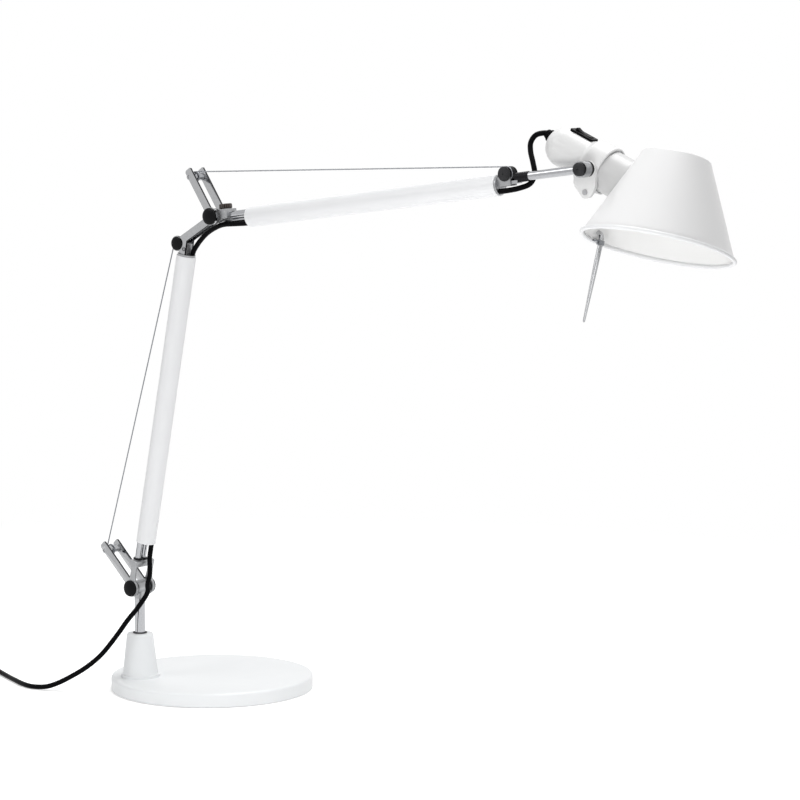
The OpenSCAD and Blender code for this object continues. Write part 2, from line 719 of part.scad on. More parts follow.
// The gland stands square on the housing's domed rear
module at_gland() {
    translate([-housing_back, 0, 0]) rotate([0, -90 + gland_lift, 0]) translate([0, 0, housing_r]) children();
}
module switch_frame() {
    color("#232427") on_housing() translate([switch_x, 0, housing_r]) difference() {
        union() {
            difference() {
                translate([-frame_l / 2, -frame_w / 2, -1.2]) cube([frame_l, frame_w, 2.8]);
                translate([0, 0, -housing_r]) long_rod(housing_r + run_gap, -frame_l, frame_l);
            }
            translate([2 - frame_l / 2, 1.7 - frame_w / 2, -4.5]) cube([frame_l - 4, frame_w - 3.4, 5]);
        }
        translate([4 - frame_l / 2, 3.2 - frame_w / 2, -3.5]) cube([frame_l - 8, frame_w - 6.4, 10]);
        cross_rod(0.8 + run_gap, -frame_w / 2 + 2.2, frame_w / 2 - 2.2, $fn = 24);
    }
}
rocker_tilt = 6;
rocker_l = frame_l - 9;
rocker_w = frame_w - 7;
module switch_rocker() {
    color("#2f3136") on_housing() translate([switch_x, 0, housing_r]) rotate([0, rocker_tilt, 0]) {
        difference() {
            translate([-rocker_l / 2, -rocker_w / 2, -1.2]) cube([rocker_l, rocker_w, 4.6]);
            translate([0, 0, 13.4]) cross_rod(11, -10, 10);
        }
        cross_rod(0.8, -frame_w / 2 + 2.3, frame_w / 2 - 2.3, $fn = 24);
    }
}
module cord_gland() {
    color("#151618") on_housing() at_gland() difference() {
        union() {
            translate([0, 0, -2.4]) cylinder(r = gland_bore, h = 3);
            translate([0, 0, 0.3]) cylinder(r = 6, h = gland_t - 0.3);
        }
        translate([0, 0, gland_t - gland_bite]) cylinder(r = cord_r + side_gap + hole_gap, h = 5);
    }
}
holder_x = -9;
holder_r = 15.6;
module lamp_holder() {
    color("#f5f5f2") on_housing() difference() {
        union() {
            long_rod(housing_r + 1, holder_x, holder_x + 3);
            long_rod(holder_r, holder_x, 22);
        }
        long_rod(bulb_base_r + hole_gap, bulb_from, 30);
    }
}
bulb_r = 30;
bulb_x = 72;
bulb_from = -4;
bulb_base_r = 13.3;
// Round glass bulb on its screw cap
module bulb() {
    color("#fbfaf4") on_housing() turned(concat(
        [[bulb_from, 0], [bulb_from, 6], [bulb_from + 5, bulb_base_r],
         [bulb_from + 26, bulb_base_r], [31, 15],
            [43, 20]],
        [for (a = [140 : -10 : 0]) [bulb_x + bulb_r * cos(a), bulb_r * sin(a)]]));
}

// Shade
cone_slope = (cone_r - crown_r) / shade_h;
// The solid inside the cone's outer face, or off outside it, run on past both ends
module cone_solid(off) {
    run = 60;
    in_shade() translate([0, 0, -run]) cylinder(r1 = cone_r + run * cone_slope + off,
        r2 = crown_r - run * cone_slope + off, h = shade_h + 2 * run, $fn = 128);
}
saddle_t = 1.6;
saddle_w = 2.4;
// The turning neck, with a saddle flange that lies on the cone
module shade_neck() {
    color("#eceef1") difference() {
        union() {
            on_housing() long_rod(neck_r, neck_from + 0.5, 62);
            intersection() {
                on_housing() long_rod(neck_r + saddle_w, 0, 62);
                cone_solid(saddle_t);
            }
        }
        cone_solid(0);
        on_housing() long_rod(neck_r - neck_wall, neck_from - 1, 90);
    }
}
module shade() {
    crown = [for (a = [0 : 15 : 90]) [cos(a), crown_rise * sin(a)]];
    color("#f3f4f8") difference() {
        in_shade() rotate_extrude($fn = 128) polygon(concat(
            [[cone_r, 0]],
            [for (c = crown) [crown_r * c[0], shade_h + c[1]]],
            [for (k = [6 : -1 : 0])
                [(crown_r - shade_wall) * crown[k][0], shade_h - shade_wall + crown[k][1]]],
            [[cone_r - shade_wall, 0]]));
        on_housing() long_rod(neck_r - neck_wall, 0, shade_reach);
    }
}
module shade_rim() {
    color("#f3f4f8") in_shade() translate([0, 0, -rim_r]) rotate_extrude($fn = 128)
        translate([mouth_r - rim_r, 0]) circle(r = rim_r, $fn = 24);
}
grip_r1 = 2.6;
grip_r2 = 1.3;
hook_r = 6;
handle_in = 11.5;
// The handle hangs inside the rim, its hooked top bent along it
module at_handle() {
    in_shade() rotate([0, 0, handle_at]) translate([mouth_r - handle_in, 0, 0]) children();
}
module handle() {
    color("#d8dade") at_handle() {
        translate([0, 0, -handle_l - 6]) cylinder(r1 = grip_r2, r2 = grip_r1, h = handle_l);
        translate([0, 0, -6]) cylinder(r = grip_r1, h = 5);
        translate([0, hook_r, -1]) rotate([90, 0, -90]) rotate_extrude(angle = 90)
            translate([hook_r, 0]) circle(r = grip_r1, $fn = 32);
        translate([0, 0, -handle_l - 6]) sphere(r = grip_r2, $fn = 32);
    }
}
module handle_clip() {
    color("#c4c7cc") at_handle() difference() {
        union() {
            translate([0, 0, -6]) cylinder(r = grip_r1 + 1.2, h = 4.4);
            translate([0, -5, -6]) cube([1.6, 10, 4.4]);
            translate([0, -5, -3.2]) cube([handle_in - 2 * rim_r - 0.1, 10, 1.6]);
        }
        cylinder(r = grip_r1, h = 30, center = true);
    }
}

// Balance cables, each from the rear of its drum to the outside of its pulley's groove
cable_gap = 0.1;
// Ends of the taut line that touches two circles on their left, as [x, z]
function taut(p, r_p, q, r_q) = let (d = q - p, a = atan2(d[1], d[0]) + acos((r_p - r_q) / norm(d)))
    [p + r_p * [cos(a), sin(a)], q + r_q * [cos(a), sin(a)]];
module cable_to(pin, pulley) {
    ends = taut(pin, drum_r + cable_r + cable_gap, pulley, groove_r + cable_r + cable_gap);
    d = ends[1] - ends[0];
    translate([ends[0][0], -groove_at, ends[0][1]]) rotate([0, 90 - atan2(d[1], d[0]), 0])
        cylinder(r = cable_r, h = norm(d), $fn = 24);
}
module lower_cable() {
    far = lower_top + pulley_ahead;
    color("#7c8085") at_joint() cable_to(base_pin, [
        far * sin(lower_lean) - pulley_side * cos(lower_lean),
        far * cos(lower_lean) + pulley_side * sin(lower_lean)]);
}
module upper_cable() {
    far = upper_top + pulley_ahead;
    lift = pulley_side - upper_drop;
    color("#7c8085") at_elbow() cable_to(upper_pin, [
        far * cos(upper_lift) - lift * sin(upper_lift), far * sin(upper_lift) + lift * cos(upper_lift)]);
}

// Mains cord: hand-set points, in the frame of the piece that carries each stretch
curve_steps = 2;
cord_sides = 10;
cord_z = cord_r + 0.2;
// Lower arm's points [side, y, along] in the lamp's frame
function from_lower(p) = [-pole_back + p[0] * cos(lower_lean) + p[2] * sin(lower_lean),
    -pole_aside + p[1], joint_z - p[0] * sin(lower_lean) + p[2] * cos(lower_lean)];
free_from = [-45.2, -77, 96.9];
through_joint = [from_lower([lower_cord_at[0], lower_cord_at[1], lower_tail]),
    from_lower([lower_cord_at[0], lower_cord_at[1], lower_tail - 6]),
    from_lower([8, 1, 36]), from_lower([13, -1, 20]), from_lower([14.5, -4, 8]),
    [-36.8, -69, 114.2], free_from];
free_next = [-52.9, -85, 83.5];
free_dir = free_next - through_joint[len(through_joint) - 2];
module cord_joint() {
    color("#101113") sweep_tube(smooth(through_joint, curve_steps), cord_r, cord_sides,
        from_lower([0, 0, 0]) - from_lower([0, 0, 1]), free_dir);
}
coil_at = [-306, -113];
coil_r = 43;
coil_start = 75;
coil_step = 6.3;
// Turns in each of the coil's two layers
coil_turns = 3;
free_points = [free_from, free_next, [-61.4, -92, 68], [-76, -102, 45.7], [-92.3, -110, 30],
    [-110.5, -116, 18], [-128, -121.5, 8.5], [-141, -127.5, 4], [-158, -131.5, cord_z],
    [-177, -127, cord_z], [-197, -118, cord_z], [-222, -106, cord_z], [-247, -93, cord_z],
    [-270, -80, cord_z],
    [coil_at[0] + coil_r * cos(coil_start), coil_at[1] + coil_r * sin(coil_start), cord_z]];
coil_dir = [-sin(coil_start), cos(coil_start), 0];
module cord_free() {
    color("#101113") sweep_tube(smooth(free_points, curve_steps), cord_r, cord_sides, free_dir, coil_dir);
}
module cord_lower() {
    color("#101113") in_lower() translate([lower_cord_at[0], lower_cord_at[1], lower_tail])
        cylinder(r = cord_r, h = tube_l + 2, $fn = 24);
}
// From the lower tube's top under the elbow to the upper tube's rear, in the lower arm's frame
function to_rear(p) = let (q = [upper_tail + p[0], p[2] - upper_drop], a = upper_lift + lower_lean)
    [elbow_side + q[0] * cos(a) - q[1] * sin(a), p[1], elbow_rise + q[0] * sin(a) + q[1] * cos(a)];
elbow_points = [[lower_cord_at[0], lower_cord_at[1], 2], [6.7, 3.2, 7], [10, 3, 13.5], [15.6, 2, 21.5],
    [24.6, 0.5, 31.5], [36.4, -1.5, 40.2], to_rear([-37.6, -2.8, -4.8]), to_rear([-23, -3, -5.4]),
    to_rear([-8, -3, upper_cord_at[0]]), to_rear([0, -3, upper_cord_at[0]])];
module cord_elbow() {
    color("#101113") in_lower() translate([0, 0, lower_top])
        sweep_tube(smooth(elbow_points, curve_steps), cord_r, cord_sides,
            [0, 0, 1], to_rear([1, 0, 0]) - to_rear([0, 0, 0]));
}
module cord_upper() {
    color("#101113") along_upper() translate([-upper_cord_at[0], upper_cord_at[1], 0])
        cylinder(r = cord_r, h = tube_l, $fn = 24);
}
// From the upper tube's front round behind the rod to the gland, in the upper arm's frame
function to_gland(p) = let (a = -head_drop - upper_lift)
    [head_out + (p[0] - head_back) * cos(a) - p[2] * sin(a), head_aside + p[1],
        (p[0] - head_back) * sin(a) + p[2] * cos(a)];
// A point on the gland's axis, out from the housing's surface
function on_gland(out) = [-housing_back - (housing_r + out) * cos(gland_lift), 0,
    (housing_r + out) * sin(gland_lift)];
head_points = [[upper_top, upper_cord_at[1], upper_cord_at[0] - upper_drop],
    [upper_top + 10, -3, -12], [upper_top + 24, 0, -11], [upper_top + 35, 5, -7.5],
    [upper_top + 38, 10, 2], [upper_top + 34, 15, 14], [upper_top + 29, 20, 25],
    [upper_top + 27, 25, 35], [upper_top + 32, 29, 42], to_gland(on_gland(gland_t + 2)),
    to_gland(on_gland(gland_t - gland_bite))];
module cord_head() {
    color("#101113") in_upper() sweep_tube(smooth(head_points, curve_steps), cord_r, cord_sides,
        [1, 0, 0], to_gland(on_gland(0)) - to_gland(on_gland(1)));
}

// The rest of the cord, wound flat in two layers: in, up over half a turn, and out again
coil_rings = 24;
tail_l = 26;
plug_r = 11;
coil_in = coil_r - coil_step * coil_turns;
// The climb between the layers swings in by this much, clear of the turn outside it
climb_dip = 2;
function coil_point(t) = let (
    up = max(0, min(1, (t - coil_turns) / 0.5)),
    r = t < coil_turns ? coil_r - coil_step * t : t < coil_turns + 0.5
        ? coil_in - climb_dip * sin(180 * up) : coil_in + coil_step * (t - coil_turns - 0.5),
    a = coil_start + 360 * t)
    [coil_at[0] + r * cos(a), coil_at[1] + r * sin(a), cord_z + coil_step * up];
coil_all = 2 * coil_turns + 0.5;
coil_points = [for (i = [0 : coil_all * coil_rings]) coil_point(i / coil_rings)];
coil_end = coil_point(coil_all);
// The tail leaves along the last turn's tangent
tail_a = coil_start + 360 * coil_all + 90;
tail_to = coil_end + [tail_l * cos(tail_a), tail_l * sin(tail_a), plug_r - coil_end[2]];
tail_points = [for (k = [1 : 4]) let (t = k / 4, e = t * t * (3 - 2 * t))
    [coil_end[0] + (tail_to[0] - coil_end[0]) * t, coil_end[1] + (tail_to[1] - coil_end[1]) * t,
        coil_end[2] + (tail_to[2] - coil_end[2]) * e]];
// Least gap between turns, measured on points at least a third of a turn apart
coil_gap = min([for (i = [0 : len(coil_points) - 1]) for (j = [i + coil_rings / 3 : 1 : len(coil_points) - 1])
    norm(coil_points[i] - coil_points[j])]) - cord_d;
echo(coil_gap = coil_gap);
module cord_coil() {
    color("#101113") sweep_tube(concat(coil_points, tail_points), cord_r, 6, coil_dir,
        [cos(tail_a), sin(tail_a), 0]);
}
module at_plug() { translate(tail_to) rotate([0, 0, tail_a]) children(); }
plug_l = 34;
module plug() {
    color("#17181a") at_plug() intersection() {
        union() {
            long_rod(4.2, 0, 8);
            translate([7, 0, 0]) rotate([0, 90, 0]) cylinder(r1 = 6, r2 = 12.5, h = plug_l - 14);
            long_rod(12.5, plug_l - 8, plug_l);
        }
        translate([-1, -18, -plug_r + 3.5]) cube([plug_l + 2, 36, 2 * plug_r - 7]);
    }
}
module plug_pins() {
    color("#c4c7cc") at_plug() for (y = [-9.3, 9.3]) translate([0, y, 0]) {
        long_rod(2, plug_l, plug_l + 18);
        translate([plug_l + 18, 0, 0]) sphere(r = 2, $fn = 32);
    }
}

base_pad();
base_weight();
base_cover();
boss();
boss_screws();
pole_bush();
pole();
pole_head();
lower_pins();
base_lever_plates();
lower_fork();
lower_rods();
lower_end_plug();
lower_tube();
lower_spring();
lower_joint_caps();
lower_top_plug();
lower_pulley_axle();
lower_pulley();
elbow_plates();
elbow_pins();
elbow_caps();
upper_lever_plates();
elbow_block();
elbow_screw();
upper_rods();
upper_end_plug();
upper_tube();
upper_spring();
upper_front_plug();
upper_pulley_axle();
upper_pulley();
head_rod();
head_bolt();
head_knob();
head_spacer();
housing();
lug_screw();
neck_ring();
switch_frame();
switch_rocker();
cord_gland();
lamp_holder();
bulb();
shade_neck();
shade();
shade_rim();
handle();
handle_clip();
lower_cable();
upper_cable();
cord_free();
cord_joint();
cord_lower();
cord_elbow();
cord_upper();
cord_head();
cord_coil();
plug();
plug_pins();
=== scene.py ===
import bpy, bmesh, json, math
from mathutils import Matrix, Vector


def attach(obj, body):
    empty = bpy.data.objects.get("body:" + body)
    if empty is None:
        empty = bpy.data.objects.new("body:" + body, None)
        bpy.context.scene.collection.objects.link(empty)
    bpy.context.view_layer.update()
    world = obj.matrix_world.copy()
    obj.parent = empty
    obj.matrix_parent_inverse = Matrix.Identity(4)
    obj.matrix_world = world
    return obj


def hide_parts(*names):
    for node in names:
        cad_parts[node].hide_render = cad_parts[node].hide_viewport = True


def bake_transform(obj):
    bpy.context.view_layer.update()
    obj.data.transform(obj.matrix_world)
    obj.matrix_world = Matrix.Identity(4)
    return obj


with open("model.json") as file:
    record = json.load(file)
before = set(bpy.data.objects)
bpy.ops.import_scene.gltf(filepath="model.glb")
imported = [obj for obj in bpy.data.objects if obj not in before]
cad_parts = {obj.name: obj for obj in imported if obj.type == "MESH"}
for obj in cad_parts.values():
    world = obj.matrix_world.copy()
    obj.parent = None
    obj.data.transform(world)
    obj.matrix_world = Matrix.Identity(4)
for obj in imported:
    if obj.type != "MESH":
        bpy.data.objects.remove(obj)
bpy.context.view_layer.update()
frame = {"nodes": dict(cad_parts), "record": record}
NODE = frame["nodes"]

# ---------------------------------------------------------------- frames, in mm
MM = Matrix.Scale(0.001, 4)
WORLD = Matrix.Identity(4)


def T(x, y, z):
    return Matrix.Translation((x, y, z))


def R(axis, deg):
    return Matrix.Rotation(math.radians(deg), 4, axis)


# Angles at rest: lower arm, upper arm, head, and the shade's turn and tilt
LEAN, LIFT, DROP, TURN, TILT = 11.1, 7.2, 23.9, 18.2, 20.2
# Along the arms: joint to tube, tube, elbow to tube, tube to head
TAIL, TUBE_L, UTAIL, ROD_L = 53.0, 332.5, 46.5, 103.5
LFAR, UFAR = TAIL + TUBE_L, UTAIL + TUBE_L
TUBE_DROP = 5.5           # the upper tube's axis below the elbow's
E_AT = (36.5, 53.5)       # the elbow's axis from the lower tube's far end
P_AT = (-10.5, 12.0)      # a pulley's axle from its tube's far end
HOUSE_R, BACK = 20.85, 45.4
CONE_R, CROWN_R, CONE_H, HALF_WALL = 76.5, 35.0, 89.5, 0.6

JOINT = T(-56, -60, 119)
LOWER = JOINT @ R("Y", LEAN)
LTOP = LOWER @ T(0, 0, LFAR)
ELBOW = LOWER @ T(E_AT[0], 0, LFAR + E_AT[1]) @ R("Y", -LEAN)
UPPER = ELBOW @ R("Y", -LIFT)
UTOP = UPPER @ T(UTAIL, 0, -TUBE_DROP) @ R("Y", 90) @ T(0, 0, TUBE_L)
HEAD = UPPER @ T(UFAR + ROD_L, 0, 0) @ R("Y", DROP + LIFT)
HOUSE = HEAD @ T(-3.5, 36, 0)
SHADE = HOUSE @ R("X", -TURN) @ T(87.3, 0, 0) @ R("Y", -TILT) @ T(0, 0, -42)
GLAND = HOUSE @ T(-BACK, 0, 0) @ R("Y", -82) @ T(0, 0, HOUSE_R)
SWITCH = HOUSE @ T(-30.5, 0, HOUSE_R)


# ---------------------------------------------------------------- camera
VIEW = Vector((-0.5996, 0.7928, -0.1090)).normalized()
cam_data = bpy.data.cameras.new("cam")
cam_data.sensor_width = 36
cam_data.lens = 135
cam_data.clip_start = 0.1
cam_data.clip_end = 30
cam = bpy.data.objects.new("cam", cam_data)
bpy.context.scene.collection.objects.link(cam)
cam.location = (2.2070, -2.5624, 0.7005)
cam.rotation_euler = VIEW.to_track_quat("-Z", "Y").to_euler()
bpy.context.scene.camera = cam

# ---------------------------------------------------------------- materials


def add_node(nt, kind, *links, **values):
    """A shader node, with values for its inputs or settings and (output, input) links."""
    n = nt.nodes.new(kind)
    for k, v in values.items():
        if k in n.inputs:
            n.inputs[k].default_value = v
        else:
            setattr(n, k, v)
    for out, i in links:
        nt.links.new(out, n.inputs[i])
    return n


class Mat:
    """A node material with a few shortcuts."""

    def __init__(self, name, color, metallic, rough, **sockets):
        self.m = bpy.data.materials.new(name)
        self.m.use_nodes = True
        self.nt = self.m.node_tree
        self.b = self.nt.nodes["Principled BSDF"]
        self.b.inputs["Base Color"].default_value = (*color, 1)
        self.b.inputs["Metallic"].default_value = metallic
        self.b.inputs["Roughness"].default_value = rough
        for k, v in sockets.items():
            self.b.inputs[k.replace("_", " ")].default_value = v
        self.co = self.node("ShaderNodeTexCoord").outputs["Object"]

    def node(self, kind, *links, **values):
        return add_node(self.nt, kind, *links, **values)

    def set(self, out, socket):
        self.nt.links.new(out, self.b.inputs[socket])

    def noise(self, scale, detail=3.0, rough=0.55):
        return self.node("ShaderNodeTexNoise", (self.co, "Vector"), Scale=scale, Detail=detail,
                         Roughness=rough).outputs["Fac"]

    def span(self, fac, lo, hi, a=0.3, b=0.7):
        """A value that runs from lo to hi while fac runs from a to b."""
        limits = {"From Min": a, "From Max": b, "To Min": lo, "To Max": hi}
        return self.node("ShaderNodeMapRange", (fac, "Value"), **limits).outputs["Result"]

    def color(self, fac, a, b, lo=0.35, hi=0.65):
        ramp = self.node("ShaderNodeValToRGB", (fac, "Fac"))
        for e, pos, c in zip(ramp.color_ramp.elements, (lo, hi), (a, b)):
            e.position = pos
            e.color = (*c, 1)
        self.set(ramp.outputs["Color"], "Base Color")

    def rough(self, fac, a, b):
        self.set(self.span(fac, a, b), "Roughness")

    def bump(self, *layers, distance):
        last = None
        for fac, strength in layers:
            n = self.node("ShaderNodeBump", (fac, "Height"), Strength=strength, Distance=distance)
            if last is not None:
                self.nt.links.new(last, n.inputs["Normal"])
            last = n.outputs["Normal"]
        self.set(last, "Normal")


def satin(name, tone, gloss=0.36):
    """What all the paints share: an even grain and a gloss that varies a little."""
    m = Mat(name, tone, 0.0, gloss, Coat_Weight=0.12, Coat_Roughness=0.15)
    m.rough(m.noise(38, 5), gloss - 0.05, gloss + 0.08)
    m.bump((m.noise(900, 2), 0.10), (m.noise(150, 3), 0.05), distance=0.00015)
    return m


def paint(name, tone=(0.82, 0.825, 0.835), cloud=(0.805, 0.81, 0.822), gloss=0.36):
    m = satin(name, tone, gloss)
    m.color(m.noise(14, 4), cloud, tone)
    return m.m


def painted_light_inside(name, outer, inner):
    """Satin outside and a brighter white inside, told apart by the cone's middle wall; the brighter inside is
    painted light on the shade's inside.
    """
    m = satin(name, outer)
    back = (MM @ SHADE @ MM.inverted()).inverted()
    local = m.node("ShaderNodeMapping", (m.co, "Vector"), Location=back.to_translation(),
                   Rotation=back.to_euler())
    xyz = m.node("ShaderNodeSeparateXYZ", (local.outputs["Vector"], 0)).outputs
    flat = m.node("ShaderNodeCombineXYZ", (xyz["X"], "X"), (xyz["Y"], "Y"))
    r = m.node("ShaderNodeVectorMath", (flat.outputs[0], 0), operation="LENGTH")
    wall = m.span(xyz["Z"], (CONE_R - HALF_WALL) / 1000, (CROWN_R - HALF_WALL) / 1000, 0.0, CONE_H / 1000)
    inside = m.node("ShaderNodeMath", (r.outputs["Value"], 0), (wall, 1), operation="LESS_THAN")
    under = m.node("ShaderNodeMath", (xyz["Z"], 0), operation="LESS_THAN")
    under.inputs[1].default_value = (CONE_H - HALF_WALL) / 1000
    both = m.node("ShaderNodeMath", (inside.outputs[0], 0), (under.outputs[0], 1), operation="MULTIPLY")
    # The inner colour is painted light: the shade's inside drawn brighter than its outside
    m.color(both.outputs[0], outer, inner, 0.4, 0.6)
    return m.m


def polished(name, color, rough, bumps=0.3):
    m = Mat(name, color, 1.0, rough)
    lines = m.noise(500, 3, 0.6)
    m.rough(m.noise(60, 4), rough - 0.03, rough + 0.08)
    m.color(lines, tuple(c * 0.90 for c in color), color)
    m.bump((lines, 0.10 * bumps), (m.noise(90, 2), 0.04 * bumps), distance=0.00008)
    return m.m


def cast(name, color, rough):
    m = Mat(name, color, 0.85, rough)
    m.color(m.noise(70, 5), tuple(c * 0.85 for c in color), color)
    m.rough(m.noise(120, 4), rough - 0.07, rough + 0.10)
    m.bump((m.noise(1400, 3), 0.18), (m.noise(220, 2), 0.08), distance=0.0001)
    return m.m


def plastic(name, color, rough, spec=0.35, grain=0.12, lift=1.4):
    m = Mat(name, color, 0.0, rough, Specular_IOR_Level=spec)
    m.color(m.noise(60, 4), color, tuple(min(1, c * lift) for c in color))
    m.rough(m.noise(45, 4), rough - 0.04, rough + 0.1)
    m.bump((m.noise(1600, 2), grain), distance=0.0001)
    return m.m


def frosted(name, color, rough):
    m = Mat(name, color, 0.0, rough, Transmission_Weight=0.25, Subsurface_Weight=0.3,
            Subsurface_Radius=(0.02, 0.02, 0.018))
    m.bump((m.noise(1500, 2), 0.04), distance=0.0001)
    return m.m


MATS = {
    "white_paint": paint("white_paint"),
    # The shade's brighter inner colour is painted light on its inside
    "shade_paint": painted_light_inside("shade_paint", (0.81, 0.81, 0.812), (0.88, 0.88, 0.875)),
    "head_paint": paint("head_paint", (0.75, 0.75, 0.748), (0.72, 0.72, 0.72), 0.38),
    # The neck's darker tone is painted shade, where it sits recessed between the housing's collar and the
    # lampshade
    "neck_paint_painted_shade": paint("neck_paint_painted_shade", (0.58, 0.58, 0.58), (0.55, 0.55, 0.55), 0.38),
    "base_paint": paint("base_paint", (0.83, 0.845, 0.855), (0.82, 0.835, 0.845), 0.40),
    "iron_weight": cast("iron_weight", (0.12, 0.12, 0.125), 0.6),
    "pad": plastic("pad", (0.02, 0.02, 0.02), 0.8, grain=0.5),
    "cast_alloy": cast("cast_alloy", (0.40, 0.405, 0.415), 0.36),
    "polished_steel": polished("polished_steel", (0.44, 0.445, 0.455), 0.12),
    "chrome": polished("chrome", (0.42, 0.425, 0.44), 0.07, bumps=0.05),
    "handle_steel": polished("handle_steel", (0.46, 0.465, 0.475), 0.20, bumps=0.02),
    # Near-black steel: the dark collars and ribbed sleeve, and painted dark reflection on the edges of the
    # polished plates
    "dark_steel_and_painted_edge_shade": polished("dark_steel_and_painted_edge_shade", (0.018, 0.018, 0.020), 0.30),
    "pin_steel": polished("pin_steel", (0.46, 0.465, 0.475), 0.20),
    "spring_steel": polished("spring_steel", (0.30, 0.31, 0.33), 0.34),
    "black_cap": plastic("black_cap", (0.005, 0.005, 0.0055), 0.26, spec=0.08, grain=0.02),
    "black_plug": plastic("black_plug", (0.010, 0.010, 0.011), 0.45),
    "pulley_grey": plastic("pulley_grey", (0.010, 0.010, 0.012), 0.40, spec=0.08),
    "knob_grey": plastic("knob_grey", (0.016, 0.016, 0.017), 0.42, spec=0.12, grain=0.6, lift=2.4),
    "brown_screw": plastic("brown_screw", (0.012, 0.006, 0.004), 0.22, spec=0.6, grain=0.10, lift=1.8),
    "switch_black": plastic("switch_black", (0.002, 0.002, 0.0025), 0.26, spec=0.06),
    "holder_white": plastic("holder_white", (0.74, 0.73, 0.70), 0.28, grain=0.03, lift=1.03),
    "cord_black": plastic("cord_black", (0.0015, 0.0015, 0.002), 0.36, spec=0.04, grain=0.2),
    "bulb_glass": frosted("bulb_glass", (0.86, 0.85, 0.82), 0.22),
}
# Nodes of the part whose finish differs from their slot's
FINISH = {"pole": "chrome", "head_rod": "chrome", "lower_rods": "chrome", "upper_rods": "chrome",
          "elbow_pins": "chrome", "handle_clip": "spring_steel", "shade": "shade_paint",
          "housing": "head_paint", "shade_neck": "neck_paint_painted_shade", "base_cover": "base_paint", "boss": "base_paint"}
slot_of = {s["node"]: s["material_slot"] for s in frame["record"]["subparts"]}
for name, obj in NODE.items():
    obj.data.materials.clear()
    obj.data.materials.append(MATS[FINISH.get(name, slot_of[name])])

# ---------------------------------------------------------------- making pieces
MERGE = 1e-4          # points closer than this, in mm, become one
BEVEL_FROM = 35       # the least angle, in degrees, that is bevelled
FLAT_ON = 0.97        # a face that looks along Y at least this much isn't an edge of its plate


def piece(name, bm, matrix, mat, body, replaces=(), smooth=40, bevel=0.0, segments=2, edge=None):
    """A mesh in a local frame, in mm, becomes a piece on a body, in metres."""
    bmesh.ops.remove_doubles(bm, verts=bm.verts, dist=MERGE)
    bmesh.ops.recalc_face_normals(bm, faces=bm.faces)
    bm.transform(MM @ matrix)
    me = bpy.data.meshes.new(name)
    bm.to_mesh(me)
    bm.free()
    obj = bpy.data.objects.new(name, me)
    bpy.context.scene.collection.objects.link(obj)
    if bevel:
        bv = obj.modifiers.new("bevel", "BEVEL")
        bv.width = bevel * 0.001
        bv.segments = segments
        bv.limit_method = "ANGLE"
        bv.angle_limit = math.radians(BEVEL_FROM)
        me = bpy.data.meshes.new_from_object(obj.evaluated_get(bpy.context.evaluated_depsgraph_get()))
        obj.modifiers.clear()
        obj.data = me
    me.polygons.foreach_set("use_smooth", [True] * len(me.polygons))
    sharp = bmesh.new()
    sharp.from_mesh(me)
    for e in sharp.edges:
        e.smooth = len(e.link_faces) == 2 and e.calc_face_angle(0) < math.radians(smooth)
    sharp.to_mesh(me)
    sharp.free()
    me.materials.clear()
    me.materials.append(MATS[mat])
    # Faces that aren't a plate's flat sides take the second material: painted dark reflection along the plate's
    # edges
    if edge:
        me.materials.append(MATS[edge])
        local = (MM @ matrix).inverted().to_3x3()
        for f in me.polygons:
            f.material_index = int(abs((local @ f.normal).normalized().y) < FLAT_ON)
    if body:
        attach(obj, body)
    names = [replaces] if isinstance(replaces, str) else list(replaces)
    if names:
        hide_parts(*names)
    return obj


def unit(deg):
    """Cosine and sine of an angle in degrees."""
    return math.cos(math.radians(deg)), math.sin(math.radians(deg))


def ring(n):
    """Cosine and sine of n even steps round a circle."""
    return [(math.cos(2 * math.pi * k / n), math.sin(2 * math.pi * k / n)) for k in range(n)]


def circle_pts(c, r, a0, a1, n):
    """An arc of n steps round c, from a0 to a1 degrees."""
    turns = (unit(a0 + (a1 - a0) * k / n) for k in range(n + 1))
    return [(c[0] + r * x, c[1] + r * y) for x, y in turns]


def turned(p, deg):
    c, s = unit(deg)
    return (p[0] * c - p[1] * s, p[0] * s + p[1] * c)


def lathe(profile, segs=96, closed=False):
    """Turns [r, z] points about Z."""
    bm = bmesh.new()
    rings = []
    for r, z in profile:
        points = [(0, 0, z)] if abs(r) < 1e-6 else [(r * c, r * s, z) for c, s in ring(segs)]
        rings.append([bm.verts.new(p) for p in points])
    for a, b in list(zip(rings, rings[1:])) + ([(rings[-1], rings[0])] if closed else []):
        for k in range(segs):
            k2 = (k + 1) % segs
            corners = list(dict.fromkeys((a[k % len(a)], b[k % len(b)], b[k2 % len(b)], a[k2 % len(a)])))
            if len(corners) > 2:
                bm.faces.new(corners)
    return bm


def smooth_pts(p, steps):
    """The same smooth curve as the part's source draws through given points."""
    out = []
    for i in range(len(p) - 1):
        a, b, c, d = (Vector(q) for q in (p[max(i - 1, 0)], p[i], p[i + 1], p[min(i + 2, len(p) - 1)]))
        for k in range(steps):
            t = k / steps
            out.append(b + 0.5 * t * (c - a + t * (2 * a - 5 * b + 4 * c - d + t * (3 * (b - c) + d - a))))
    return out + [Vector(p[-1])]


def directions(pts):
    """Which way a line of points runs at each of them."""
    n = len(pts)
    return [(pts[min(i + 1, n - 1)] - pts[max(i - 1, 0)]).normalized() for i in range(n)]


def sweep(pts, radius, sides=16, bm=None):
    """A round closed tube along points; radius is a number or one per point."""
    bm = bm or bmesh.new()
    pts = [Vector(p) for p in pts]
    radii = radius if hasattr(radius, "__len__") else [radius] * len(pts)
    tang = directions(pts)
    side = tang[0].cross(Vector((0, 0, 1)) if abs(tang[0].z) < 0.9 else Vector((1, 0, 0))).normalized()
    rings = []
    for p, t, r in zip(pts, tang, radii):
        side = (side - t * side.dot(t)).normalized()
        up = t.cross(side)
        rings.append([bm.verts.new(p + r * (c * side + s * up)) for c, s in ring(sides)])
    return skin(bm, rings)


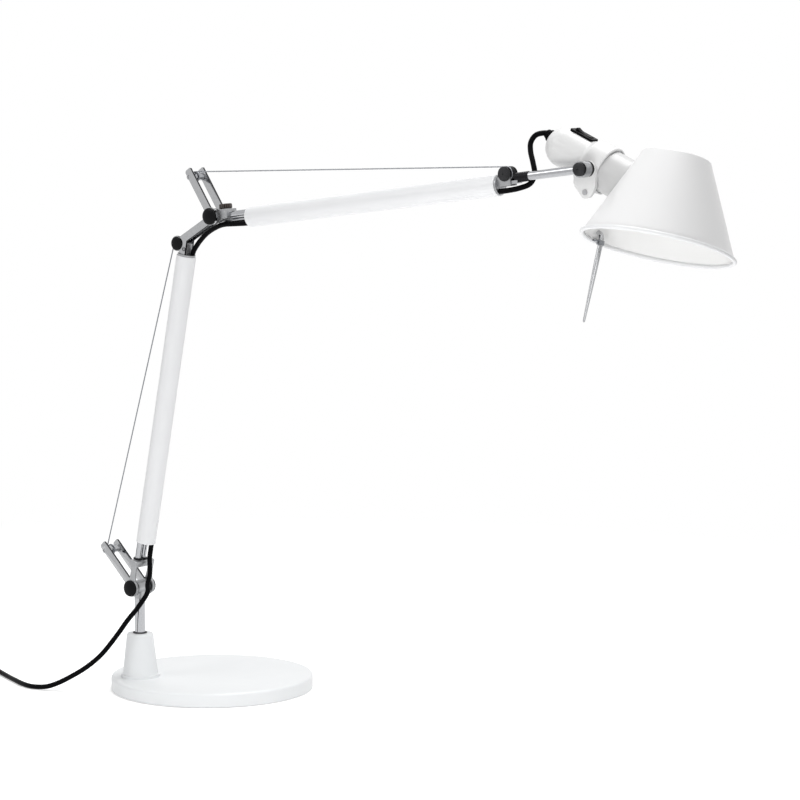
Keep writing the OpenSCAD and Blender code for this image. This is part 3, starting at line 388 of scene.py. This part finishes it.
def skin(bm, rings):
    """Faces between rings of vertices, and one over each end."""
    for a, b in zip(rings, rings[1:]):
        n = len(a)
        for k in range(n):
            bm.faces.new((a[k], a[(k + 1) % n], b[(k + 1) % n], b[k]))
    bm.faces.new(rings[0][::-1])
    bm.faces.new(rings[-1])
    return bm


def loft(rings):
    """A closed form through rings of points."""
    bm = bmesh.new()
    return skin(bm, [[bm.verts.new(p) for p in points] for points in rings])


def join(*parts):
    """One mesh out of several, each with its own matrix."""
    out = bmesh.new()
    for bm, m in parts:
        bm.transform(m)
        me = bpy.data.meshes.new("part")
        bm.to_mesh(me)
        bm.free()
        out.from_mesh(me)
        bpy.data.meshes.remove(me)
    return out


def slab(outline, y0, y1, holes=(), cuts=()):
    """A flat plate with round holes, from an [x, z] outline, standing from y0 to y1."""
    bm = bmesh.new()
    edges = []
    for line in [outline, *cuts] + [[(x + r * c, z + r * s) for c, s in ring(32)] for x, z, r in holes]:
        vs = [bm.verts.new((x, y0, z)) for x, z in line]
        edges += [bm.edges.new((vs[i], vs[(i + 1) % len(vs)])) for i in range(len(vs))]
    fill = bmesh.ops.triangle_fill(bm, use_beauty=True, use_dissolve=False, edges=edges)
    faces = [f for f in fill["geom"] if isinstance(f, bmesh.types.BMFace)]
    ext = bmesh.ops.extrude_face_region(bm, geom=faces)
    top = [v for v in ext["geom"] if isinstance(v, bmesh.types.BMVert)]
    bmesh.ops.translate(bm, verts=top, vec=(0, y1 - y0, 0))
    return bm


def twin_slabs(outline, inner, outer, holes):
    """The same plate on the near and the far side of the arms' plane."""
    return (slab(outline, -outer, -inner, holes), WORLD), (slab(outline, inner, outer, holes), WORLD)


NEAR, FAR = R("X", 90), R("X", -90)


def pair(profile, out, segs=72):
    """The same turned form on the near and the far side, out from the arms' plane."""
    return join((lathe(profile, segs), T(0, -out, 0) @ NEAR), (lathe(profile, segs), T(0, out, 0) @ FAR))


# ---------------------------------------------------------------- free cord and its coil
CORD_D, CORD_Z = 5.6, 3.0
CORD_EXIT = (-45.2, -77, 96.9)
# The coil: middle, outer radius, start angle, pitch, turns in each layer, the turn between them and its dip
COIL_AT, COIL_R, COIL_START, STEP, TURNS, CLIMB, DIP = (-306, -113), 43.0, 75.0, 6.3, 3, 0.5, 2.0
COIL_TURNS, PER_TURN = 2 * TURNS + CLIMB, 24
TAIL_L, PLUG_Z, TAIL_STEPS = 26, 11.0, 4


def coil_point(t):
    """Turns inwards on the floor, a climb onto them, and turns outwards above."""
    up = max(0.0, min(1.0, (t - TURNS) / CLIMB))
    inner = COIL_R - STEP * TURNS
    if t < TURNS:
        r = COIL_R - STEP * t
    elif t < TURNS + CLIMB:
        r = inner - DIP * math.sin(math.pi * up)
    else:
        r = inner + STEP * (t - TURNS - CLIMB)
    c, s = unit(COIL_START + 360 * t)
    return Vector((COIL_AT[0] + r * c, COIL_AT[1] + r * s, CORD_Z + STEP * up))


FREE = [CORD_EXIT, (-52.9, -85, 83.5), (-61.4, -92, 68), (-76, -102, 45.7), (-92.3, -110, 30),
        (-110.5, -116, 18), (-128, -121.5, 8.5), (-141, -127.5, 4), (-158, -131.5, 3), (-177, -127, 3),
        (-197, -118, 3), (-222, -106, 3), (-247, -93, 3), (-270, -80, 3), tuple(coil_point(0))]
COIL = [coil_point(i / PER_TURN) for i in range(int(COIL_TURNS * PER_TURN) + 1)]
TAIL_DEG = COIL_START + 360 * COIL_TURNS + 90
TAIL_TO = COIL[-1] + TAIL_L * Vector((*unit(TAIL_DEG), 0))
TAIL_TO.z = PLUG_Z
RUN = smooth_pts(FREE, 4)[:-1] + COIL
for k in range(1, TAIL_STEPS + 1):
    t = k / TAIL_STEPS
    q = COIL[-1].lerp(TAIL_TO, t)
    q.z = COIL[-1].z + (TAIL_TO.z - COIL[-1].z) * t * t * (3 - 2 * t)
    RUN.append(q)
free_cord = piece("free_cord", sweep(RUN, CORD_D / 2), WORLD, "cord_black", "base",
                  ["cord_free", "cord_coil"])

# ---------------------------------------------------------------- caps of the joints and pulleys
# Distances out from the arms' plane
LEVER_IN, LEVER_OUT, BAR_IN, BAR_OUT = 9.3, 11.8, 4.2, 6.7
FORK_IN, FORK_OUT, ELBOW_OUT, UPPER_CHEEK = 12.1, 15.3, 14.0, 6.0
CAP_R, CAP_T = 9.2, 3.8
# Holes for the joints' and pulleys' axles and for the cables' pins
JOINT_HOLE, PULLEY_HOLE, PIN_HOLE = 4.02, 2.02, 1.9


def dome(r, t, dimple=0.0):
    """Profile of a round cap with a soft shoulder, and a dimple if asked."""
    p = [(0, -0.05), (r - 0.25, 0), (r, 0.25), (r, 0.3 * t)]
    p += [(r * c, t * (0.3 + 0.7 * s)) for c, s in map(unit, range(10, 86, 5)) if r * c > dimple + 0.4]
    if dimple:
        return p + [(dimple + 0.2, t * 0.985), (dimple, t * 0.93), (dimple * 0.9, t * 0.72), (0, t * 0.68)]
    return p + [(0, t)]


cap = dome(CAP_R, CAP_T)
piece("lower_caps", pair(cap, FORK_OUT), LOWER, "black_cap", "lower_arm", "lower_joint_caps", smooth=50)
piece("elbow_cap_pair", pair(cap, ELBOW_OUT), ELBOW, "black_cap", "lower_arm", "elbow_caps", smooth=50)


def pulley_pieces(name, m, out, mat, body, node, dimple):
    """A pulley's two caps and its axle between them."""
    at = T(P_AT[0], 0, P_AT[1])
    axle = lathe([(0, -out - 0.02), (2, -out), (2, out), (0, out + 0.02)], 32)
    bm = join((pair(dome(7.6, 2.6, dimple), out), at), (axle, at @ NEAR))
    piece(name, bm, m, mat, body, node, smooth=50)


pulley_pieces("lower_pulley_caps", LTOP, BAR_OUT, "black_cap", "lower_arm", "lower_pulley_axle", 0)
pulley_pieces("upper_pulley_caps", UTOP, UPPER_CHEEK, "knob_grey", "upper_arm", "upper_pulley_axle", 1.1)

# ---------------------------------------------------------------- levers, elbow plates and fork
PLATE_W, PIN_BACK, EAR_R, LEVER_DISC, LEVER_END, DRUM_R = 9.0, 2.3, 3.5, 8.0, 8.0, 4.5


def lever(name, m, length, deg, body, node):
    """A lever's two plates, leaning back by deg; gives the place of the cable's pin."""
    w = PLATE_W / 2
    disc = math.degrees(math.acos(w / LEVER_DISC))
    ear = math.degrees(math.acos((w - PIN_BACK) / EAR_R))
    line = (circle_pts((0, 0), LEVER_DISC, disc, -180 - disc, 40)
            + circle_pts((-PIN_BACK, length), EAR_R, 180 + ear, 180 - ear, 12)
            + circle_pts((3 - w, length + LEVER_END - 3), 3, 180, 90, 8)
            + [(w - 1, length + LEVER_END), (w, length + LEVER_END - 1)])
    pin = turned((-PIN_BACK, length), deg)
    holes = [(*pin, PIN_HOLE), (0, 0, JOINT_HOLE)]
    plates = twin_slabs([turned(p, deg) for p in line], LEVER_IN, LEVER_OUT, holes)
    # The plates' edges get painted dark reflection
    piece(name, join(*plates), m, "polished_steel", body, node, bevel=0.7, smooth=30, edge="dark_steel_and_painted_edge_shade")
    return pin


base_pin = lever("base_lever", JOINT, 57.5, 44.9, "pole", "base_lever_plates")
upper_pin = lever("upper_lever", ELBOW, 52.5, 33.8, "lower_arm", "upper_lever_plates")

BAR_END, BAR_SIDE, BAR_FOOT = 8.4, 2.8, 2.0
way = math.degrees(math.atan2(E_AT[1] - P_AT[1], E_AT[0] - P_AT[0]))
neck = math.degrees(math.asin(PLATE_W / 2 / BAR_END))
edge = (P_AT[0] + PLATE_W / 2 * math.sin(math.radians(way)),
        P_AT[1] - PLATE_W / 2 * math.cos(math.radians(way)))
bar_line = (circle_pts(E_AT, BAR_END, way + 180 + neck, way + 540 - neck, 40)
            + circle_pts(P_AT, BAR_END, way + neck, 300, 30)
            + [(-6.2, BAR_FOOT), (BAR_SIDE, BAR_FOOT),
               (BAR_SIDE, edge[1] + (BAR_SIDE - edge[0]) * math.tan(math.radians(way)))])
screw_head = [(0, 0), (2.4, 0), (2.4, 1.9), (2.0, 2.1), (1.3, 2.1), (1.1, 1.6), (0, 1.6)]
bars = twin_slabs(bar_line, BAR_IN, BAR_OUT, [(*E_AT, JOINT_HOLE), (*P_AT, PULLEY_HOLE)])
# The bars' edges get painted dark reflection
piece("elbow_bars", join(*bars, (pair(screw_head, 5.2, 32), T(0.3, 0, 8))), LTOP, "polished_steel",
      "lower_arm", "elbow_plates", bevel=0.7, smooth=30, edge="dark_steel_and_painted_edge_shade")

YOKE_S, YOKE_H, YOKE_OUT, RING_R = 25.0, 7.0, 14.4, CAP_R + 0.6
YOKE_TOP = YOKE_S + YOKE_H
leg = (circle_pts((0, 0), RING_R, 62, -242, 44)
       + [(-4.1, 12), (-3.7, 16), (-3.5, 20), (-3.9, YOKE_S + 1), (-4.2, YOKE_TOP), (3.6, YOKE_TOP),
          (3.4, YOKE_S + 1), (3.2, 20), (3.4, 16), (3.9, 12)])
yoke = [(-8.0, YOKE_S + 0.6), (-6.6, YOKE_S), (2.6, YOKE_S), (4.2, YOKE_S + 0.8), (4.4, YOKE_TOP - 1.5),
        (3.4, YOKE_TOP), (-7.4, YOKE_TOP), (-8.4, YOKE_TOP - 1.2)]
collar = [(3.4, -1.0), (5.0, -0.6), (5.3, 0.4), (4.9, 1.5), (3.5, 1.8), (3.4, 1.0)]
piece("fork_casting", join(*twin_slabs(leg, FORK_IN, FORK_OUT, [(0, 0, 4.1)]),
                           (slab(yoke, -YOKE_OUT, YOKE_OUT), WORLD)),
      LOWER, "cast_alloy", "lower_arm", "lower_fork", bevel=0.8, segments=3, smooth=35)
piece("rod_collars", join(*((lathe(collar, 48, closed=True), T(-4.8, y, YOKE_TOP)) for y in (-4.2, 4.2))),
      LOWER, "dark_steel_and_painted_edge_shade", "lower_arm", "lower_fork", smooth=50)

# ---------------------------------------------------------------- balance cables
# The groove's distance out and radius, the rope's radius, and its turns on the drum
GROOVE_AT, GROOVE_R, CABLE_R, WRAPS, WRAP_STEP, ROUND_STEP = 2.2, 6.4, 0.75, 1.6, 1.7, 12


def taut(p, rp, q, rq):
    """The line that touches both circles on the same side, and the angle of its ends."""
    d = (q[0] - p[0], q[1] - p[1])
    a = math.atan2(d[1], d[0]) + math.acos((rp - rq) / math.hypot(*d))
    n = (math.cos(a), math.sin(a))
    return (p[0] + rp * n[0], p[1] + rp * n[1]), (q[0] + rq * n[0], q[1] + rq * n[1]), math.degrees(a)


LAY, STRANDS, STRAND_SIDES, STRAND_SHARE, CORE_SHARE = 7.0, 6, 5, 0.38, 0.5


def strands(pts, radius):
    """A wire rope: strands wound round a path, with a core."""
    pts = [Vector(p) for p in pts]
    tang = directions(pts)
    side = tang[0].orthogonal().normalized()
    frames, s, last = [], 0.0, pts[0]
    for p, t in zip(pts, tang):
        side = (side - t * side.dot(t)).normalized()
        s += (p - last).length
        last = p
        frames.append((p, side.copy(), t.cross(side), s))
    bm = bmesh.new()
    strand = radius * STRAND_SHARE
    for k in range(STRANDS):
        line = []
        for p, u, v, s in frames:
            a = 2 * math.pi * (k / STRANDS + s / LAY)
            line.append(p + (radius - strand) * (math.cos(a) * u + math.sin(a) * v))
        sweep(line, strand, STRAND_SIDES, bm)
    return sweep(pts, radius * CORE_SHARE, STRAND_SIDES, bm)


def line_pts(a, b, step):
    a, b = Vector(a), Vector(b)
    n = max(2, int((b - a).length / step))
    return [a.lerp(b, k / n) for k in range(n + 1)]


def cable(name, m, pin, pulley, node):
    """From its turns on a lever's pin straight to the pulley and over it."""
    rp, rq = DRUM_R + CABLE_R + 0.1, GROOVE_R + CABLE_R + 0.1
    p, q, a = taut(pin, rp, pulley, rq)
    pts = []
    for w in range(int(360 * WRAPS), 0, -ROUND_STEP):
        c, s = unit(a + w)
        pts.append((pin[0] + rp * c, -GROOVE_AT + (360 * WRAPS - w) / 360 * WRAP_STEP, pin[1] + rp * s))
    pts += line_pts((p[0], -GROOVE_AT, p[1]), (q[0], -GROOVE_AT, q[1]), 1.4)
    for w in range(ROUND_STEP, 150, ROUND_STEP):
        c, s = unit(a - w)
        pts.append((pulley[0] + rq * c, -GROOVE_AT, pulley[1] + rq * s))
    obj = piece(name, strands(pts, CABLE_R), m, "spring_steel", None, node, smooth=80)
    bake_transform(obj)


cable("lower_wire", JOINT, base_pin, turned((P_AT[0], LFAR + P_AT[1]), -LEAN),
      "lower_cable")
cable("upper_wire", ELBOW, upper_pin, turned((UFAR + P_AT[1], -P_AT[0] - TUBE_DROP), LIFT),
      "upper_cable")

# ---------------------------------------------------------------- the held stretches of the cord


def held_cord(name, pts, m, node):
    """A stretch of cord that is held at both ends, swept along its points and baked in place."""
    pts = smooth_pts(pts, 5)
    obj = piece(name, sweep(pts, CORD_D / 2, 20), m, "cord_black", None, node, smooth=80)
    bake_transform(obj)


def beside_tube(x, y, z):
    """A point by the upper tube's near end, in the frame of the lower tube's far end."""
    along, up = turned((UTAIL + x, z - TUBE_DROP), LIFT + LEAN)
    return (E_AT[0] + along, y, E_AT[1] + up)


def over_gland(out):
    """A point straight out of the gland, in the upper arm's frame."""
    return UPPER.inverted() @ (GLAND @ Vector((0, 0, out)))


held_cord("joint_cord", [CORD_EXIT, (-36.8, -69, 114.2)]
          + [LOWER @ Vector(p) for p in ((14.5, -4, 8), (13, -1, 20), (8, 1, 36), (5.8, 3.2, 47), (5.8, 3.2, 53))],
          WORLD, "cord_joint")
held_cord("elbow_cord", [(5.8, 3.2, 2), (6.7, 3.2, 7), (10, 3, 13.5), (15.6, 2, 21.5), (24.6, 0.5, 31.5),
                         (36.4, -1.5, 40.2), beside_tube(-37.6, -2.8, -4.8), beside_tube(-23, -3, -5.4),
                         beside_tube(-8, -3, -6.3), beside_tube(0, -3, -6.3)],
          LTOP, "cord_elbow")
held_cord("head_cord", [(UFAR, -3, -11.8), (UFAR + 10, -3, -12), (UFAR + 24, 0, -11), (UFAR + 35, 5, -7.5),
                        (UFAR + 38, 10, 2), (UFAR + 34, 15, 14), (UFAR + 29, 20, 25), (UFAR + 27, 25, 35),
                        (UFAR + 32, 29, 42), over_gland(7), over_gland(2)],
          UPPER, "cord_head")
gland = [(0, -2.4), (3.9, -2.4), (3.9, 0.3), (6.3, 0.3), (6.6, 0.8), (6.6, 2.2), (6.1, 2.7), (5.4, 2.9),
         (5.4, 3.3), (5.1, 3.6), (5.1, 4.3), (5.2, 4.6), (4.8, 5.0), (4.8, 5.6), (4.9, 5.9), (4.3, 6.6),
         (3.5, 6.9), (3.2, 6.7), (3.2, 2.2), (0, 2.2)]
piece("gland", lathe(gland, 48), GLAND, "cord_black", "head", "cord_gland", smooth=35)

# ---------------------------------------------------------------- knobs and screws


def knurled(profile, count, depth, zlo, zhi):
    """A turned form with grooves cut into its widest part between two heights."""
    bm = lathe(profile, 144)
    widest = max(p[0] for p in profile)
    for v in bm.verts:
        r = math.hypot(v.co.x, v.co.y)
        if r > widest * 0.9 and zlo <= v.co.z <= zhi:
            k = 1 - depth / r * max(0.0, math.cos(count * math.atan2(v.co.y, v.co.x))) ** 2
            v.co.x *= k
            v.co.y *= k
    return bm


knob = [(3.05, 0.02), (6.3, 0.0), (6.9, 0.4), (7.0, 0.9), (7.0, 1.8), (6.8, 2.5), (6.1, 3.2), (4.9, 3.7),
        (3.2, 3.95), (1.5, 4.0), (1.1, 3.7), (0.9, 2.9), (0, 2.8)]
piece("head_knob_cap", knurled(knob, 20, 0.35, 0.3, 2.6), HEAD @ T(0, -6.0, 0) @ NEAR, "knob_grey",
      "head_knob", "head_knob", smooth=35)
screw = [(0, 0), (6.3, 0), (7.1, 0.5), (7.2, 0.9), (7.2, 4.3), (6.9, 5.0), (6.1, 5.5), (4.9, 5.5), (4.4, 4.9),
         (0, 4.6)]
piece("tension_screw", join((knurled(screw, 18, 0.7, 0.4, 4.7), WORLD),
                            (lathe([(0, -2.8), (2, -2.8), (2, 0.1), (0, 0.1)], 32), WORLD)),
      UPPER @ T(12.5, 0, 6.7), "brown_screw", "elbow_screw", "elbow_screw", smooth=30)

# ---------------------------------------------------------------- switch


def soft_box(hx, hy, r):
    """A rectangle with round corners, of half sizes hx and hy."""
    return [(sx * (hx - r) + r * c, sy * (hy - r) + r * s)
            for sx, sy, a0 in ((1, 1, 0), (-1, 1, 90), (-1, -1, 180), (1, -1, 270))
            for c, s in map(unit, range(a0, a0 + 91, 15))]


piece("switch_bezel", slab(soft_box(14.5, 6.5, 2.2), -1.5, 1.5, cuts=[soft_box(10.5, 3.5, 0.6)]),
      SWITCH @ R("X", 90), "switch_black", "head", "switch_frame", bevel=0.5, segments=3)
hollow = [(x, 1.9 + 1.5 * (x / 10) ** 2) for x in range(9, -10, -1)]
rocker = [(-10, -1.2), (10, -1.2), (10, 3.2)] + hollow + [(-10, 3.2)]
piece("rocker", join((slab(rocker, -3, 3), WORLD),
                     (lathe([(0, -4.1), (0.8, -4.1), (0.8, 4.1), (0, 4.1)], 16), NEAR)),
      SWITCH @ R("Y", 6), "switch_black", "switch_rocker", "switch_rocker", bevel=0.45, segments=3)

# ---------------------------------------------------------------- handle
HANG = SHADE @ R("Z", 173) @ T(68, 0, 0)
HANDLE_L, HANDLE_R, TIP_R, HOOK_R, TAPER_TO = 86, 2.6, 1.25, 6, -26
path = [(0, 0, -HANDLE_L), (0, 0, -85.2)] + [(0, 0, -84 + 6 * k) for k in range(0, 14)] + [(0, 0, -2)]
path += [(0, HOOK_R - HOOK_R * c, -1 + HOOK_R * s) for c, s in map(unit, range(10, 91, 8))]
path += [(0, 7.5, 5)]
radii = [TIP_R + 1.35 * min(1, (p[2] + HANDLE_L) / 60) if p[2] < TAPER_TO else HANDLE_R for p in path]
radii[:2] = [0.5, 1.15]
piece("handle_rod", sweep(path, radii, 64), HANG, "handle_steel", "shade", "handle", smooth=50)

# ---------------------------------------------------------------- plug
PLUG = T(*TAIL_TO) @ R("Z", TAIL_DEG)
PLUG_L, PRONG_OUT = 34, 9.3


def oval(x, hy, hz, e=2.6):
    """A ring across the plug, round at e = 2 and squarer above."""
    return [(x, hy * math.copysign(abs(c) ** (2 / e), c), hz * math.copysign(abs(s) ** (2 / e), s))
            for c, s in ring(40)]


ribs = [oval(1.2 * k + x, r, r, 2) for k in range(5) for x, r in ((0, 4.2), (0.5, 4.2), (0.6, 3.5), (1.1, 3.5))]
grip = [oval(6.4, 4.4, 4.3, 2.1), oval(9, 5.8, 5.2, 2.3), oval(14, 8.0, 6.2), oval(20, 10.4, 7.0),
        oval(26, 12.1, 7.4), oval(29, 12.5, 7.45), oval(32.8, 12.5, 7.45), oval(33.7, 12.1, 7.1),
        oval(PLUG_L, 11.5, 6.6)]
plug_body = piece("plug_body", loft(ribs + grip), PLUG, "black_plug", "base", "plug", smooth=40)
prong = [(0, -1), (1.9, -1), (1.95, 8.0), (2.0, 8.2), (2.0, 17.4), (1.7, 18.6), (1.0, 19.6), (0, 20)]
prongs = join(*((lathe(prong, 32), T(PLUG_L, y, 0) @ R("Y", 90)) for y in (-PRONG_OUT, PRONG_OUT)))
plug_prongs = piece("plug_prongs", prongs, PLUG, "polished_steel", "base", "plug_pins", smooth=40)

# ---------------------------------------------------------------- bulb in its holder
AXIS = HOUSE @ R("Y", 90)
GLOBE_R, GLOBE_Z = 30, 72
globe = [(0, 20), (13.4, 21.5), (14.6, 26), (17.2, 36), (20.4, 46)]
globe += [(GLOBE_R * s, GLOBE_Z - GLOBE_R * c) for c, s in map(unit, range(48, 180, 6))]
globe += [(0, GLOBE_Z + GLOBE_R)]
piece("bulb_globe", lathe(globe), AXIS, "bulb_glass", "head", "bulb", smooth=60)
thread = [(0, -4), (5.8, -4), (7, -2.6), (12.2, 0.8)]
for k in range(6):
    z = 2 + 3.2 * k
    thread += [(12.4, z), (13.2, z + 0.9), (13.2, z + 1.5), (12.4, z + 2.4)]
thread += [(13.3, 21.6), (13.3, 22.4), (0, 22.4)]
piece("bulb_screw_cap", lathe(thread, 72), AXIS, "pin_steel", "head", "bulb", smooth=40)
holder = [(14.0, -8.8), (21.7, -8.8), (21.7, -6.2), (15.4, -6.0), (15.6, -5.4), (15.6, 19.5), (15.2, 20.6),
          (15.6, 21.2), (15.4, 22), (13.6, 22), (13.6, -4)]
piece("holder_sleeve", lathe(holder, 72, closed=True), AXIS, "holder_white", "head", "lamp_holder",
      smooth=40)

# Dark ribbed sleeve where the head rod leaves the upper tube
sleeve = [(4.4, 22.6), (4.9, 22.8), (4.9, 23.4)]
for k in range(9):
    z = 1.6 * k
    sleeve += [(4.9, 24 + z), (5.15, 24.4 + z), (5.15, 25.0 + z), (4.9, 25.4 + z)]
sleeve += [(4.9, 38.9), (4.4, 39.1)]
piece("rod_sleeve", lathe(sleeve, 48, closed=True), UPPER @ T(UFAR, 0, 0) @ R("Y", 90), "dark_steel_and_painted_edge_shade",
      "upper_arm")

# ---------------------------------------------------------------- stage and light
SKY, GLOW = 0.38, 0.42     # what lights the lamp from all round, and what lifts the floor to near white
WHITE = (1, 1, 1, 1)
FLOOR_R, FADE_FROM, FADE_TO = 1.6, 0.75, 1.3


def sighted(nt):
    """1 for camera, glossy and transmission rays, which all see the white background, else 0."""
    ray = add_node(nt, "ShaderNodeLightPath").outputs
    some = add_node(nt, "ShaderNodeMath", (ray["Is Camera Ray"], 0), (ray["Is Glossy Ray"], 1),
                    operation="ADD")
    return add_node(nt, "ShaderNodeMath", (some.outputs[0], 0), (ray["Is Transmission Ray"], 1),
                    operation="ADD", use_clamp=True).outputs[0]


def mix(nt, fac, a, b):
    return add_node(nt, "ShaderNodeMixShader", (fac, 0), (a, 1), (b, 2)).outputs[0]


studio = bpy.data.worlds.new("studio")
bpy.context.scene.world = studio
studio.use_nodes = True
nt = studio.node_tree
soft = add_node(nt, "ShaderNodeBackground", Color=WHITE, Strength=SKY)
white = add_node(nt, "ShaderNodeBackground", Color=WHITE, Strength=1.0)
nt.links.new(mix(nt, sighted(nt), soft.outputs[0], white.outputs[0]),
             nt.nodes["World Output"].inputs["Surface"])


def area(name, loc, target, size, power):
    d = bpy.data.lights.new(name, "AREA")
    d.shape = "RECTANGLE"
    d.size, d.size_y = size
    d.energy = power
    o = bpy.data.objects.new(name, d)
    o.location = loc
    o.rotation_euler = (Vector(target) - Vector(loc)).to_track_quat("-Z", "Y").to_euler()
    bpy.context.scene.collection.objects.link(o)
    return o


area("key", (-0.9, -1.7, 2.0), (0.2, 0, 0.35), (1.2, 0.9), 10)
area("fill", (1.9, -1.2, 1.2), (0.2, 0, 0.4), (0.8, 1.2), 5)
area("top", (0.3, 0.5, 2.2), (0.2, 0, 0.3), (1.4, 1.0), 30)
under = area("under", (0.75, -1.15, 0.12), (0.62, -0.03, 0.56), (0.5, 0.3), 6)
under.visible_glossy = False
under.visible_camera = False

# A white floor that keeps the shadow near the lamp and runs out into the white behind
fm = Mat("floor", (0.92, 0.92, 0.92), 0.0, 0.95, Specular_IOR_Level=0.0)
glow = fm.node("ShaderNodeEmission", Color=WHITE, Strength=GLOW)
full = fm.node("ShaderNodeEmission", Color=WHITE, Strength=1.0)
near = fm.node("ShaderNodeAddShader", (fm.b.outputs[0], 0), (glow.outputs[0], 1))
dist = fm.node("ShaderNodeVectorMath", (fm.co, 0), operation="LENGTH")
fade = fm.span(dist.outputs["Value"], 0.0, 1.0, FADE_FROM, FADE_TO)
shown = mix(fm.nt, fade, near.outputs[0], full.outputs[0])
fm.nt.links.new(mix(fm.nt, sighted(fm.nt), fm.b.outputs[0], shown),
                fm.nt.nodes["Material Output"].inputs["Surface"])
disc = bmesh.new()
bmesh.ops.create_circle(disc, cap_ends=True, segments=96, radius=FLOOR_R)
fme = bpy.data.meshes.new("floor")
disc.to_mesh(fme)
disc.free()
floor = bpy.data.objects.new("floor", fme)
fme.materials.append(fm.m)
bpy.context.scene.collection.objects.link(floor)

bpy.context.scene.view_settings.view_transform = "Standard"
